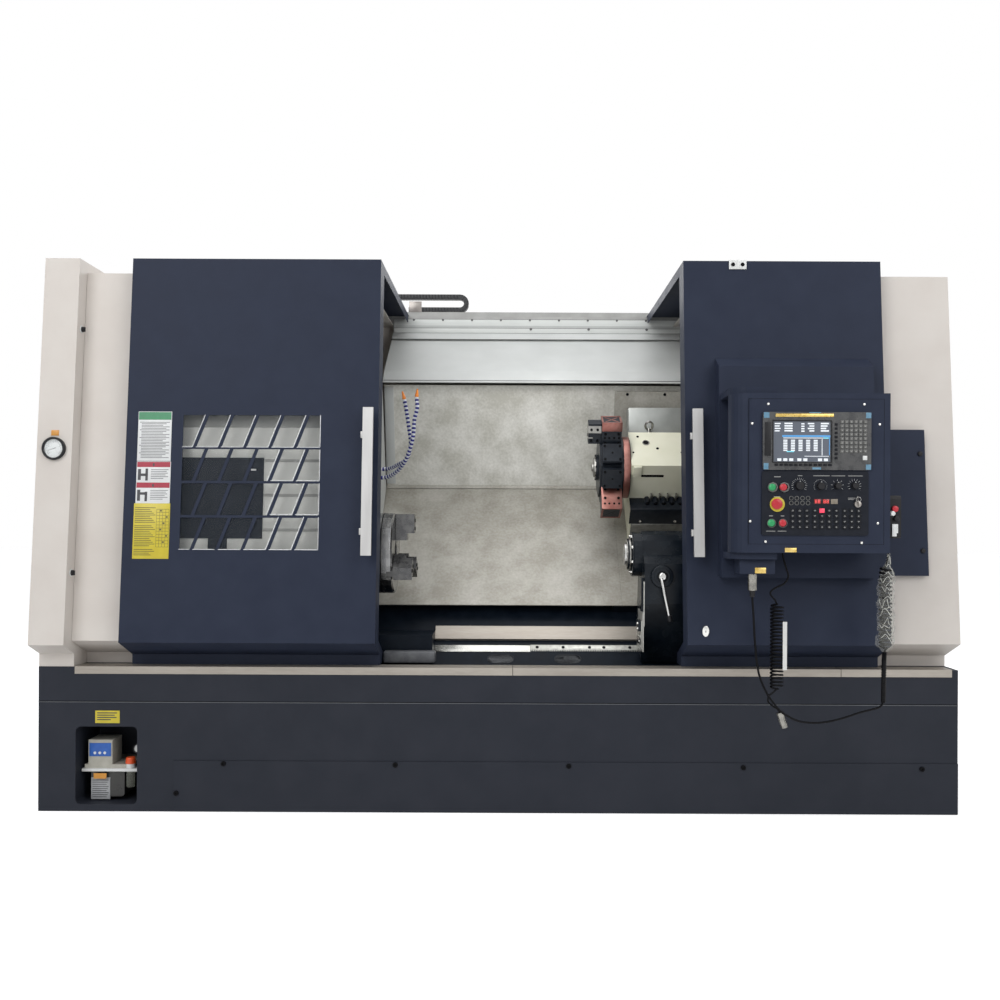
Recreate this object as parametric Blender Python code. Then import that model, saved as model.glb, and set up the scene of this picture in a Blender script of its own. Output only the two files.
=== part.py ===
# A large slant-bed CNC turning lathe: a sheet-metal enclosure on a deep base, two
# sliding doors that carry their own roof halves, a 45 degree bed with saddle, cross
# slide and indexing turret, a three-jaw chuck, a tailstock and a swivelling control.
# Metres, +Z up, +X towards the tailstock, the operator stands on the -Y side.
import math

import bmesh
import bpy
from mathutils import Matrix, Vector

# Driving sizes of the whole machine
machine_length = 3.690
base_depth = 1.800
ledge_height = 0.580
door_height = 1.655
sheet = 0.004
seat_gap = 0.0003
cut_over = 0.02
round_sides = 32
small_sides = 16

# The leaning front faces: they stand out over the base and lean back to the top
front_reach = 0.087
skirt_setback = 0.072
skirt_height = 0.043
chamfer_rise = 0.064
lean = 0.150
cover_setback = 0.063

# The doorway and its two doors
left_door_width = 1.010
right_door_width = 0.802
door_return = 0.050
meeting_return = 0.110
roof_flange = 0.040

# The two ends: the headstock's end stands left of the doorway, the tail end right of it
headstock_length = 1.360
tail_length = 1.100

# The spindle line, and the bed that leans back behind it. Places on the bed are
# given by how far they lie up the slope and how far above it, from the spindle line.
spindle_setback = 0.263
spindle_rise = 0.454
slant = math.radians(45)
bed_drop = 0.333
cover_drop = 0.276
bed_foot = -0.337
bed_crown = 0.600

front_y = -base_depth / 2
half_length = machine_length / 2
top_z = ledge_height + door_height
door_front_y = front_y - front_reach
skirt_y = front_y + skirt_setback
skirt_top_z = ledge_height + skirt_height
face_bottom_z = skirt_top_z + chamfer_rise
doorway_left = -half_length + headstock_length
doorway_right = half_length - tail_length
spindle_y = front_y + spindle_setback
spindle_z = ledge_height + spindle_rise

# The bed's ends, and the well in the base that holds it and collects the chips
bed_left_from_left_end = 0.495
bed_left = -half_length + bed_left_from_left_end
bed_right_from_right_end = -0.595
bed_right = half_length + bed_right_from_right_end
bed_back_behind_spindle = 0.797
bed_back = spindle_y + bed_back_behind_spindle
well_left_from_left_end = 0.475
well_left = -half_length + well_left_from_left_end
well_right_from_right_end = -0.545
well_right = half_length + well_right_from_right_end
well_front_behind_front = 0.1
well_front = front_y + well_front_behind_front
well_back_behind_spindle = 0.937
well_back = spindle_y + well_back_behind_spindle
well_floor_over_ledge = -0.33
well_floor = ledge_height + well_floor_over_ledge


def clear_scene():
    for old in list(bpy.data.objects):
        bpy.data.objects.remove(old)


def material(name, colour, roughness, metallic=0.0):
    made = bpy.data.materials.get(name) or bpy.data.materials.new(name)
    made.use_nodes = True
    shader = made.node_tree.nodes["Principled BSDF"]
    shader.inputs["Base Color"].default_value = (*colour, 1)
    shader.inputs["Roughness"].default_value = roughness
    shader.inputs["Metallic"].default_value = metallic
    return made


dark_paint = material("dark_paint", (0.035, 0.042, 0.055), 0.5)
light_paint = material("light_paint", (0.68, 0.65, 0.61), 0.5)
white_paint = material("white_paint", (0.75, 0.77, 0.75), 0.4)
cream_paint = material("cream_paint", (0.70, 0.70, 0.60), 0.45)
steel = material("steel", (0.55, 0.54, 0.50), 0.35, 1.0)
bright_steel = material("bright_steel", (0.75, 0.75, 0.74), 0.2, 1.0)
cast_paint = material("cast_paint", (0.03, 0.035, 0.045), 0.55)
black_plastic = material("black_plastic", (0.02, 0.02, 0.022), 0.45)
copper_finish = material("copper_finish", (0.55, 0.25, 0.17), 0.35, 0.9)
clear_pane = material("clear_pane", (0.70, 0.75, 0.74), 0.1)
red_plastic = material("red_plastic", (0.65, 0.02, 0.02), 0.35)
green_plastic = material("green_plastic", (0.02, 0.35, 0.10), 0.35)
blue_hose = material("blue_hose", (0.04, 0.05, 0.45), 0.4)


def new_object(name, mesh, finish, frame=None):
    """Link the mesh under its frame. Vertices are given in the frame's parent space."""
    made = bpy.data.objects.new(name, mesh)
    bpy.context.scene.collection.objects.link(made)
    if finish:
        mesh.materials.append(finish)
    if frame is not None:
        mesh.transform(Matrix.Translation(-frame.location))
        made.parent = frame
    return made


def empty_at(name, location=(0, 0, 0), parent=None):
    """A frame whose origin lies on a joint's axis, given in its parent's space."""
    made = bpy.data.objects.new(name, None)
    made.location = Vector(location)
    bpy.context.scene.collection.objects.link(made)
    made.parent = parent
    return made


def mesh_from(shape):
    bmesh.ops.recalc_face_normals(shape, faces=shape.faces)
    mesh = bpy.data.meshes.new("shape")
    shape.to_mesh(mesh)
    shape.free()
    return mesh


def prism_mesh(outline, axis, low, high):
    """Extrude a flat outline along one axis. Its two coordinates are the other axes in order."""
    others = [k for k in range(3) if k != axis]
    shape = bmesh.new()
    corners = []
    for a, b in outline:
        place = [0.0, 0.0, 0.0]
        place[others[0]], place[others[1]], place[axis] = a, b, low
        corners.append(shape.verts.new(place))
    face = shape.faces.new(corners)
    moved = bmesh.ops.extrude_face_region(shape, geom=[face])["geom"]
    step = Vector([high - low if k == axis else 0.0 for k in range(3)])
    tops = [g for g in moved if isinstance(g, bmesh.types.BMVert)]
    bmesh.ops.translate(shape, verts=tops, vec=step)
    return mesh_from(shape)


def prism(name, outline, axis, low, high, finish=None, frame=None):
    return new_object(name, prism_mesh(outline, axis, low, high), finish, frame)


def block(name, low, high, finish=None, frame=None, bevel=0.0):
    outline = [(low[0], low[1]), (high[0], low[1]), (high[0], high[1]), (low[0], high[1])]
    made = prism(name, outline, 2, low[2], high[2], finish, frame)
    if bevel:
        soften(made, bevel)
    return made


def soften(made, width, segments=1, angle=30):
    edge = made.modifiers.new("edge", "BEVEL")
    edge.width = width
    edge.segments = segments
    edge.limit_method = "ANGLE"
    edge.angle_limit = math.radians(angle)
    return edge


def round_mesh(profile, axis, centre, sides=round_sides):
    """Turn (along, radius) points about an axis. End points lie on the axis or are capped."""
    others = [k for k in range(3) if k != axis]
    shape = bmesh.new()
    rings = []
    for along, radius in profile:
        ring = []
        for k in range(sides if radius > 0 else 1):
            turn = math.tau * (k + 0.5) / sides
            place = [0.0, 0.0, 0.0]
            place[axis] = along
            place[others[0]] = centre[0] + radius * math.cos(turn)
            place[others[1]] = centre[1] + radius * math.sin(turn)
            ring.append(shape.verts.new(place))
        rings.append(ring)
    for near, far in zip(rings, rings[1:]):
        for k in range(sides):
            corners = [near[k % len(near)], near[(k + 1) % len(near)]]
            corners += [far[(k + 1) % len(far)], far[k % len(far)]]
            shape.faces.new(list(dict.fromkeys(corners)))
    for ring in (rings[0], rings[-1]):
        if len(ring) > 1:
            shape.faces.new(ring)
    return mesh_from(shape)


def turned(name, profile, axis, centre, finish=None, frame=None, sides=round_sides):
    made = new_object(name, round_mesh(profile, axis, centre, sides), finish, frame)
    made.data.shade_smooth()
    made.data.set_sharp_from_angle(angle=math.radians(35))
    return made


def rod(name, low, high, radius, axis, centre, finish=None, frame=None, sides=small_sides):
    return turned(name, [(low, radius), (high, radius)], axis, centre, finish, frame, sides)


def bore(radius, sides):
    """The corner radius of a many-sided hole whose flats clear the given radius."""
    return radius / math.cos(math.pi / sides)


def helper(made):
    made.hide_render = True
    made.display_type = "WIRE"
    return made


def combine(target, tool, operation):
    change = target.modifiers.new(operation.lower(), "BOOLEAN")
    change.operation = operation
    change.object = helper(tool)
    return target


def cut(target, tool):
    return combine(target, tool, "DIFFERENCE")


def join(target, tool):
    return combine(target, tool, "UNION")


def rounded_outline(low, high, radius, steps=4):
    """A rectangle with rounded corners, as a list of points."""
    points = []
    middles = ((high[0] - radius, high[1] - radius), (low[0] + radius, high[1] - radius))
    middles += ((low[0] + radius, low[1] + radius), (high[0] - radius, low[1] + radius))
    for quarter, (a, b) in enumerate(middles):
        for k in range(steps + 1):
            turn = math.pi / 2 * (quarter + k / steps)
            points.append((a + radius * math.cos(turn), b + radius * math.sin(turn)))
    return points


def swept_mesh(path, radii, sides):
    """A closed round tube along a path, with its own radius at each point."""
    points = [Vector(p) for p in path]
    shape = bmesh.new()
    side = None
    rings = []
    for k, here in enumerate(points):
        ahead = (points[min(k + 1, len(points) - 1)] - points[max(k - 1, 0)]).normalized()
        if side is None:
            side = ahead.orthogonal().normalized()
        side = (side - ahead * side.dot(ahead)).normalized()
        other = ahead.cross(side)
        ring = []
        for n in range(sides):
            turn = math.tau * n / sides
            offset = side * math.cos(turn) + other * math.sin(turn)
            ring.append(shape.verts.new(here + offset * radii[k]))
        rings.append(ring)
    for near, far in zip(rings, rings[1:]):
        for n in range(sides):
            shape.faces.new((near[n], near[(n + 1) % sides], far[(n + 1) % sides], far[n]))
    shape.faces.new(rings[0])
    shape.faces.new(rings[-1])
    return mesh_from(shape)


def smooth_path(points, steps):
    """A smooth curve through the points, read at equal shares of each stretch."""
    ends = [Vector(p) for p in points]
    ends = [2 * ends[0] - ends[1]] + ends + [2 * ends[-1] - ends[-2]]
    found = []
    for a, b, c, d in zip(ends, ends[1:], ends[2:], ends[3:]):
        for k in range(steps):
            t = k / steps
            found.append(
                0.5 * (2 * b + (c - a) * t + (2 * a - 5 * b + 4 * c - d) * t * t
                       + (3 * b - a - 3 * c + d) * t * t * t)
            )
    return found + [ends[-2]]


def face_y(z, bottom_y=door_front_y):
    """Where a leaning front face stands at the height z."""
    return bottom_y + lean * (z - face_bottom_z) / (top_z - face_bottom_z)


def leaning_outline(bottom_y, skirt, top, foot):
    """The section of a bent front sheet: skirt, chamfer and the leaning face."""
    outer = [(skirt, foot), (skirt, skirt_top_z), (bottom_y, face_bottom_z)]
    outer.append((face_y(top, bottom_y), top))
    inner = [(face_y(top, bottom_y) + sheet, top), (bottom_y + sheet, face_bottom_z + sheet / 2)]
    inner += [(skirt + sheet, skirt_top_z + sheet / 2), (skirt + sheet, foot)]
    return outer + inner


def on_slope(up_slope, above):
    """A (y, z) place from its distance up the slope and above it, from the spindle line."""
    y = spindle_y + up_slope * math.cos(slant) - above * math.sin(slant)
    z = spindle_z + up_slope * math.sin(slant) + above * math.cos(slant)
    return y, z


def slanted_outline(low_up, high_up, low_above, high_above):
    corners = ((low_up, low_above), (high_up, low_above))
    corners += ((high_up, high_above), (low_up, high_above))
    return [on_slope(*corner) for corner in corners]


def slanted(name, spans, left, right, finish=None, frame=None):
    return prism(name, slanted_outline(*spans), 0, left, right, finish, frame)


# The base, its window on the lubricator, its access panel and the sliding ledge
window_inset = 0.149
window_width = 0.247
window_sill = 0.028
window_head = 0.340
window_corner = 0.020
window_depth = 0.260
window_low = (-half_length + window_inset, window_sill)
window_high = (window_low[0] + window_width, window_head)
access_left_from_left_end = 0.544
access_left = -half_length + access_left_from_left_end
access_height = 0.205
access_proud = 0.004
floor_clear = 0.003
strip_left_from_left_end = 0.145
strip_left = -half_length + strip_left_from_left_end
strip_right_from_right_end = -0.025
strip_right = half_length + strip_right_from_right_end
strip_drop = 0.028
strip_back = 0.090
strip_thick = 0.002


def base():
    body = block("base", (-half_length, front_y, 0), (half_length, -front_y, ledge_height),
                 dark_paint)
    low = (well_left, well_front, well_floor)
    cut(body, block("well_cut", low, (well_right, well_back, ledge_height + cut_over)))
    outline = rounded_outline(window_low, window_high, window_corner)
    back = front_y + window_depth
    cut(body, prism("window_cut", outline, 1, front_y - cut_over, back))
    front = front_y - seat_gap
    block("access_panel", (access_left, front - access_proud, floor_clear),
          (half_length, front, access_height), dark_paint)
    low = ledge_height - strip_drop
    seat = ledge_height + seat_gap
    top = ledge_height + strip_thick
    out = front_y - strip_thick
    back = front_y + strip_back
    outline = [(out, low), (front, low), (front, seat), (back, seat), (back, top), (out, top)]
    prism("ledge_strip", outline, 0, strip_left, strip_right, steel)


# The lubricator behind its window
pump_inset = 0.029
pump_width = 0.097
pump_left = window_low[0] + pump_inset
pump_right = pump_left + pump_width
pump_low = 0.175
pump_top = 0.275
pump_depth = 0.110
pump_setback = 0.060
tank_inset = 0.041
tank_width = 0.135
tank_left = window_low[0] + tank_inset
tank_right = tank_left + tank_width
tank_low = 0.045
tank_top = 0.155
tank_corner = 0.012
shelf_thick = 0.018
shelf_inset = 0.014
shelf_width = 0.182
shelf_left = window_low[0] + shelf_inset
shelf_right = shelf_left + shelf_width


def lubricator():
    near = front_y + pump_setback
    wall = front_y + window_depth - seat_gap
    pump = block("lubricator_pump", (pump_left, near, pump_low),
                 (pump_right, near + pump_depth, pump_top), cream_paint)
    low = (shelf_left, near, pump_low - shelf_thick)
    join(pump, block("shelf", low, (shelf_right, wall, pump_low + seat_gap), None))
    outline = rounded_outline((tank_left, tank_low), (tank_right, tank_top), tank_corner, 2)
    top_of_tank = pump_low - shelf_thick - seat_gap
    outline = [(x, min(z, top_of_tank)) for x, z in outline]
    prism("lubricator_tank", outline, 1, near, wall, clear_pane)


# The bed casting and the way the tailstock rides on
pocket_along = 0.200
pocket_tall = 0.070
pocket_sunk = 0.060
pocket_count = 5
pocket_over_well = 0.150
pocket_inset = 0.450
pocket_pitch = 0.450
way_low = -0.205
way_high = -0.133
way_proud = 0.012
way_right_from_right_end = -0.605
way_right = half_length + way_right_from_right_end


def bed():
    foot = on_slope(bed_foot, -bed_drop)
    crown = on_slope(bed_crown, -bed_drop)
    front = foot[0]
    floor = well_floor + seat_gap
    outline = [(front, floor), foot, crown, (bed_back, crown[1]), (bed_back, floor)]
    body = prism("bed", outline, 0, bed_left, bed_right, cast_paint)
    for k in range(pocket_count):
        left = bed_left + pocket_inset + k * pocket_pitch
        height = well_floor + pocket_over_well
        low = (left, height)
        high = (left + pocket_along, height + pocket_tall)
        outline = rounded_outline(low, high, pocket_tall / 2 - seat_gap, 3)
        tool = prism("pocket_cut_" + str(k), outline, 1, front - cut_over, front + pocket_sunk)
        cut(body, tool)
    level = -bed_drop + seat_gap
    spans = (way_low, way_high, level, level + way_proud)
    slanted("tailstock_way", spans, foot_right + seat_gap * 2, way_right, steel)


# The headstock casting, its motor and the belt
headstock_left_from_left_end = 0.525
headstock_left = -half_length + headstock_left_from_left_end
headstock_right_from_head = -0.095
headstock_right = doorway_left + headstock_right_from_head
headstock_gap = 0.020
foot_right_from_head = 0.205
foot_right = doorway_left + foot_right_from_head
foot_front_behind_spindle = -0.072
foot_front = spindle_y + foot_front_behind_spindle
foot_step = -0.150
foot_rise = 0.035
headstock_front_behind_spindle = -0.163
headstock_front = spindle_y + headstock_front_behind_spindle
headstock_top_over_spindle = 0.226
headstock_top = spindle_z + headstock_top_over_spindle
headstock_back_up = 0.210
headstock_seat_low = -0.330
headstock_seat_high = -0.118
headstock_edge = 0.060
headstock_low_front_over_spindle = -0.314
headstock_low_front = spindle_z + headstock_low_front_over_spindle
spindle_radius = 0.085
spindle_clear = 0.0006
pulley_left_from_left_end = 0.03
pulley_left = -half_length + pulley_left_from_left_end
pulley_right_from_left_end = 0.115
pulley_right = -half_length + pulley_right_from_left_end
spindle_pulley_radius = 0.150
motor_pulley_radius = 0.085
motor_y_behind_spindle = 0.417
motor_y = spindle_y + motor_y_behind_spindle
motor_z_over_ledge = 0.18
motor_z = ledge_height + motor_z_over_ledge
motor_radius = 0.135
motor_left_from_left_end = 0.155
motor_left = -half_length + motor_left_from_left_end
motor_right_from_left_end = 0.455
motor_right = -half_length + motor_right_from_left_end
motor_foot = 0.100
motor_shaft = 0.025
motor_shaft_clear = 0.0006
belt_thick = 0.008
belt_inset = 0.010


def headstock():
    low_above = -bed_drop + seat_gap
    back_above = -cover_drop + headstock_gap
    seat_low = on_slope(headstock_seat_low, low_above)
    seat_high = on_slope(headstock_seat_high, low_above)
    back_low = on_slope(headstock_seat_high, back_above)
    back_high = on_slope(headstock_back_up, back_above)
    outline = [(headstock_front, headstock_low_front), seat_low, seat_high, back_low, back_high]
    outline.append((back_high[0], headstock_top - headstock_edge))
    outline.append((back_high[0] - headstock_edge, headstock_top))
    outline.append((headstock_front + headstock_edge, headstock_top))
    outline.append((headstock_front, headstock_top - headstock_edge))
    body = prism("headstock", outline, 0, headstock_left, headstock_right, cast_paint)
    step = on_slope(foot_step, low_above)
    outline = [seat_low, step, (foot_front, step[1]), (foot_front, seat_low[1] + foot_rise)]
    join(body, prism("headstock_foot", outline, 0, headstock_right - cut_over, foot_right))
    hole = bore(spindle_radius + spindle_clear, 24)
    low = headstock_left - cut_over
    centre = (spindle_y, spindle_z)
    cut(body, rod("spindle_bore_cut", low, headstock_right + cut_over, hole, 0, centre, sides=24))


def motor():
    centre = (motor_y, motor_z)
    body = turned("main_motor", [(motor_left, motor_radius), (motor_right, motor_radius)],
                  0, centre, cast_paint, sides=24)
    foot = ledge_height + seat_gap
    low = (motor_left, motor_y - motor_foot, foot)
    join(body, block("motor_foot", low, (motor_right, motor_y + motor_foot, motor_z)))
    hole = bore(motor_shaft + motor_shaft_clear, small_sides)
    end = motor_left + motor_foot
    cut(body, rod("motor_bore_cut", motor_left - cut_over, end, hole, 0, centre))


def belt_outline(extra):
    """The outline of a belt round both pulleys, drawn as a run of arc points."""
    first = Vector((spindle_y, spindle_z))
    second = Vector((motor_y, motor_z))
    along = second - first
    span = along.length
    heading = math.atan2(along.y, along.x)
    tilt = math.acos((spindle_pulley_radius - motor_pulley_radius) / span)
    points = []
    arcs = ((first, spindle_pulley_radius, tilt, math.tau - tilt, 20),)
    arcs += ((second, motor_pulley_radius, -tilt, tilt, 12),)
    for centre, radius, start, stop, steps in arcs:
        for k in range(steps + 1):
            turn = heading + start + (stop - start) * k / steps
            reach = radius + extra
            points.append((centre.x + reach * math.cos(turn), centre.y + reach * math.sin(turn)))
    return points


def belt():
    left = pulley_left + belt_inset
    right = pulley_right - belt_inset
    outer = prism("belt", belt_outline(belt_thick), 0, left, right, black_plastic)
    inner = belt_outline(pulley_clear)
    cut(outer, prism("belt_cut", inner, 0, left - cut_over, right + cut_over))
    outer.data.shade_smooth()
    outer.data.set_sharp_from_angle(angle=math.radians(35))


pulley_clear = 0.0012


# The fixed sheet covers: end guard, headstock cover, right cover and the rear wall
guard_left = -half_length
guard_right_from_left_end = 0.14
guard_right = -half_length + guard_right_from_left_end
guard_reach = 0.102
guard_bottom_over_ledge = 0.0965
guard_bottom = ledge_height + guard_bottom_over_ledge
guard_skirt_z_over_ledge = 0.052
guard_skirt_z = ledge_height + guard_skirt_z_over_ledge
guard_skirt_back = 0.003
guard_top_over_top = -0.004
guard_top = top_z + guard_top_over_top
guard_lean = 0.150
guard_wall = 0.006
guard_open_front = 0.140
guard_open_drop = 0.100
wall_y_behind_front = 1.3
wall_y = front_y + wall_y_behind_front
wall_thick = 0.006
cover_drop_top = 0.048
cover_seam = 0.001
cover_left = guard_right + cover_seam
cover_right_left_from_tail = 0.135
cover_right_left = doorway_right + cover_right_left_from_tail
headstock_cover_right_from_head = -0.081
headstock_cover_right = doorway_left + headstock_cover_right_from_head
rail_setback = 0.055
rail_y = wall_y - rail_setback
rail_depth = 0.058
rail_lip = 0.027
roof_lap = 0.0185
roof_back_y = rail_y + roof_lap
chain_gap = 0.0085
rail_height = cover_drop_top - sheet - seat_gap


def end_guard():
    foot = ledge_height + seat_gap
    outline = [(front_y + guard_skirt_back, foot), (front_y + guard_skirt_back, guard_skirt_z),
               (front_y - guard_reach, guard_bottom), (front_y - guard_reach + guard_lean, guard_top),
               (wall_y, guard_top), (wall_y, foot)]
    body = prism("end_guard", outline, 0, guard_left, guard_right, light_paint)
    wall = guard_wall
    outline = [(front_y + guard_skirt_back + wall, foot - cut_over),
               (front_y + guard_skirt_back + wall, guard_skirt_z + wall),
               (front_y - guard_reach + wall, guard_bottom + wall),
               (front_y - guard_reach + guard_lean + wall, guard_top - wall),
               (wall_y - wall, guard_top - wall), (wall_y - wall, foot - cut_over)]
    cut(body, prism("guard_cut", outline, 0, guard_left + wall, guard_right - wall))
    low = (guard_right - wall - cut_over, front_y + guard_open_front, ledge_height - cut_over)
    high = (guard_right + cut_over, wall_y - wall, guard_top - guard_open_drop)
    cut(body, block("guard_opening_cut", low, high))


def front_cover(name, left, right, closed_left, closed_right):
    """A bent front sheet with its roof, and an end wall on the sides that need one."""
    bottom = front_y - front_reach + cover_setback
    skirt = skirt_y + cover_setback
    roof = top_z - cover_drop_top
    foot = ledge_height + seat_gap
    outline = [(skirt, foot), (skirt, skirt_top_z), (bottom, face_bottom_z),
               (face_y(roof, bottom), roof), (wall_y - seat_gap, roof), (wall_y - seat_gap, foot)]
    body = prism(name, outline, 0, left, right, light_paint)
    inner_roof = roof - sheet
    over = cut_over
    outline = [(skirt + sheet, foot - over), (skirt + sheet, skirt_top_z + sheet),
               (bottom + sheet, face_bottom_z + sheet),
               (face_y(inner_roof, bottom) + sheet, inner_roof), (wall_y + over, inner_roof),
               (wall_y + over, foot - over)]
    low = left + sheet if closed_left else left - over
    high = right - sheet if closed_right else right + over
    cut(body, prism(name + "_cut", outline, 0, low, high))
    return body


# The inner sheets that stand round the work space
bulkhead_left_from_head = -0.0807
bulkhead_left = doorway_left + bulkhead_left_from_head
bulkhead_thick = 0.004
bulkhead_up = 0.690
bulkhead_clear = 0.012
chuck_hole_clear = 0.012
panel_lip_y_behind_spindle = 0.507
panel_lip_y = spindle_y + panel_lip_y_behind_spindle
panel_lip_z_over_spindle = 0.796
panel_lip_z = spindle_z + panel_lip_z_over_spindle
panel_thick = 0.004
panel_left_from_head = -0.0764
panel_left = doorway_left + panel_left_from_head
panel_right_from_right_end = -0.007
panel_right = half_length + panel_right_from_right_end
back_seam_up = 0.712
back_seam_above = -0.270
back_top_y_behind_spindle = 0.562
back_top_y = spindle_y + back_top_y_behind_spindle
back_top_z_over_spindle = 0.788
back_top_z = spindle_z + back_top_z_over_spindle
raised_left_from_tail = -0.21
raised_left = doorway_right + raised_left_from_tail
raised_right_from_tail = 0.115
raised_right = doorway_right + raised_right_from_tail
raised_low = 1.420
step_drop = 0.035
step_back = 0.060


def rear_wall():
    roof = top_z - cover_drop_top
    foot = ledge_height + seat_gap
    left = guard_right + seat_gap
    low = (left, wall_y, foot)
    block("rear_wall", low, (half_length, wall_y + wall_thick, roof), light_paint)
    low = roof + seat_gap
    top = roof + rail_height
    step = roof_back_y + chain_gap / 2
    back = rail_y + rail_depth
    outline = [(rail_y, low), (back, low), (back, top + rail_lip), (step, top + rail_lip),
               (step, top), (rail_y, top)]
    prism("rear_rail", outline, 0, left, half_length, steel)


def inner_sheets():
    roof = top_z - cover_drop_top - sheet - seat_gap
    near = wall_y - seat_gap
    lip = (panel_lip_y, panel_lip_z)
    outline = [lip, (lip[0] + step_back, lip[1] + step_back), (near - step_back, roof - step_drop),
               (near - step_back, roof), (near, roof), (near, roof - step_drop - panel_thick),
               (near - step_back, roof - step_drop - panel_thick),
               (lip[0] + step_back, lip[1] + step_back - panel_thick), (lip[0], lip[1] - panel_thick)]
    prism("upper_panel", outline, 0, panel_left, panel_right, white_paint)
    seam = on_slope(back_seam_up, back_seam_above)
    top = (back_top_y, back_top_z)
    outline = [seam, top, (near, top[1]), (near, top[1] - panel_thick),
               (top[0] + panel_thick, top[1] - panel_thick), (seam[0] + panel_thick, seam[1]),
               (near, seam[1]), (near, seam[1] - panel_thick), (seam[0], seam[1] - panel_thick)]
    prism("back_sheet", outline, 0, panel_left, panel_right, steel)
    level = -cover_drop + bulkhead_clear
    low = on_slope(headstock_seat_high, level)
    skirt = skirt_y + cover_setback + sheet + bulkhead_clear
    bottom = front_y - front_reach + cover_setback + sheet + bulkhead_clear
    high = on_slope(bulkhead_up, level)
    foot = ledge_height + seat_gap
    outline = [(skirt, foot), (skirt, skirt_top_z), (bottom, face_bottom_z),
               (face_y(panel_lip_z, bottom), panel_lip_z - bulkhead_clear),
               (panel_lip_y - bulkhead_clear, panel_lip_z - bulkhead_clear), high, low,
               (skirt + (low[0] - skirt) / 2, foot)]
    body = prism("side_panel", outline, 0, bulkhead_left, bulkhead_left + bulkhead_thick,
                 white_paint)
    over = cut_over
    centre = (spindle_y, spindle_z)
    cut(body, rod("side_hole_cut", bulkhead_left - over, bulkhead_left + bulkhead_thick + over,
                  spindle_radius + chuck_hole_clear, 0, centre, sides=24))
    clear = seat_gap * 4
    step = on_slope(foot_step, -bed_drop + seat_gap)
    low = (bulkhead_left - over, foot_front - clear, ledge_height - over)
    high = (bulkhead_left + bulkhead_thick + over, step[0] + clear, step[1] + clear)
    cut(body, block("side_foot_cut", low, high))


# The electrical cabinet on the back, with its own door
cabinet_left = -0.900
cabinet_right = 0.900
cabinet_low_over_ledge = 0.06
cabinet_low = ledge_height + cabinet_low_over_ledge
cabinet_high_over_top = -0.235
cabinet_high = top_z + cabinet_high_over_top
cabinet_depth = 0.380
cabinet_wall = 0.005
cabinet_door_thick = 0.020
cabinet_frame_clear = 0.0006


def cabinet():
    near = wall_y + wall_thick + seat_gap
    far = near + cabinet_depth
    body = block("electrical_cabinet", (cabinet_left, near, cabinet_low),
                 (cabinet_right, far, cabinet_high), light_paint)
    wall = cabinet_wall
    cut(body, block("cabinet_cut", (cabinet_left + wall, near + wall, cabinet_low + wall),
                    (cabinet_right - wall, far + cut_over, cabinet_high - wall)))
    hinge_y = far + cabinet_frame_clear + cabinet_door_thick
    frame = empty_at("cabinet_hinge", (cabinet_left, hinge_y, cabinet_low))
    low = (cabinet_left, far + cabinet_frame_clear, cabinet_low)
    block("cabinet_door", low, (cabinet_right, low[1] + cabinet_door_thick, cabinet_high),
          light_paint, frame)


# The spindle, the chuck and its jaws
chuck_left_from_head = -0.060
chuck_left = doorway_left + chuck_left_from_head
chuck_face_from_head = 0.043
chuck_face = doorway_left + chuck_face_from_head
chuck_radius = 0.170
chuck_bore = 0.045
chuck_edge = 0.006
bar_bore = 0.038
jaw_count = 3
jaw_inner = 0.055
jaw_outer = 0.166
jaw_half_width = 0.029
jaw_seat = 0.004
jaw_rise = 0.081
jaw_base_rise = 0.030
jaw_step_rise = 0.050
jaw_step = 0.030
slot_half_width = 0.014
slot_depth = 0.024
spindle_tail_from_head = -1.345
spindle_tail = doorway_left + spindle_tail_from_head


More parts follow.
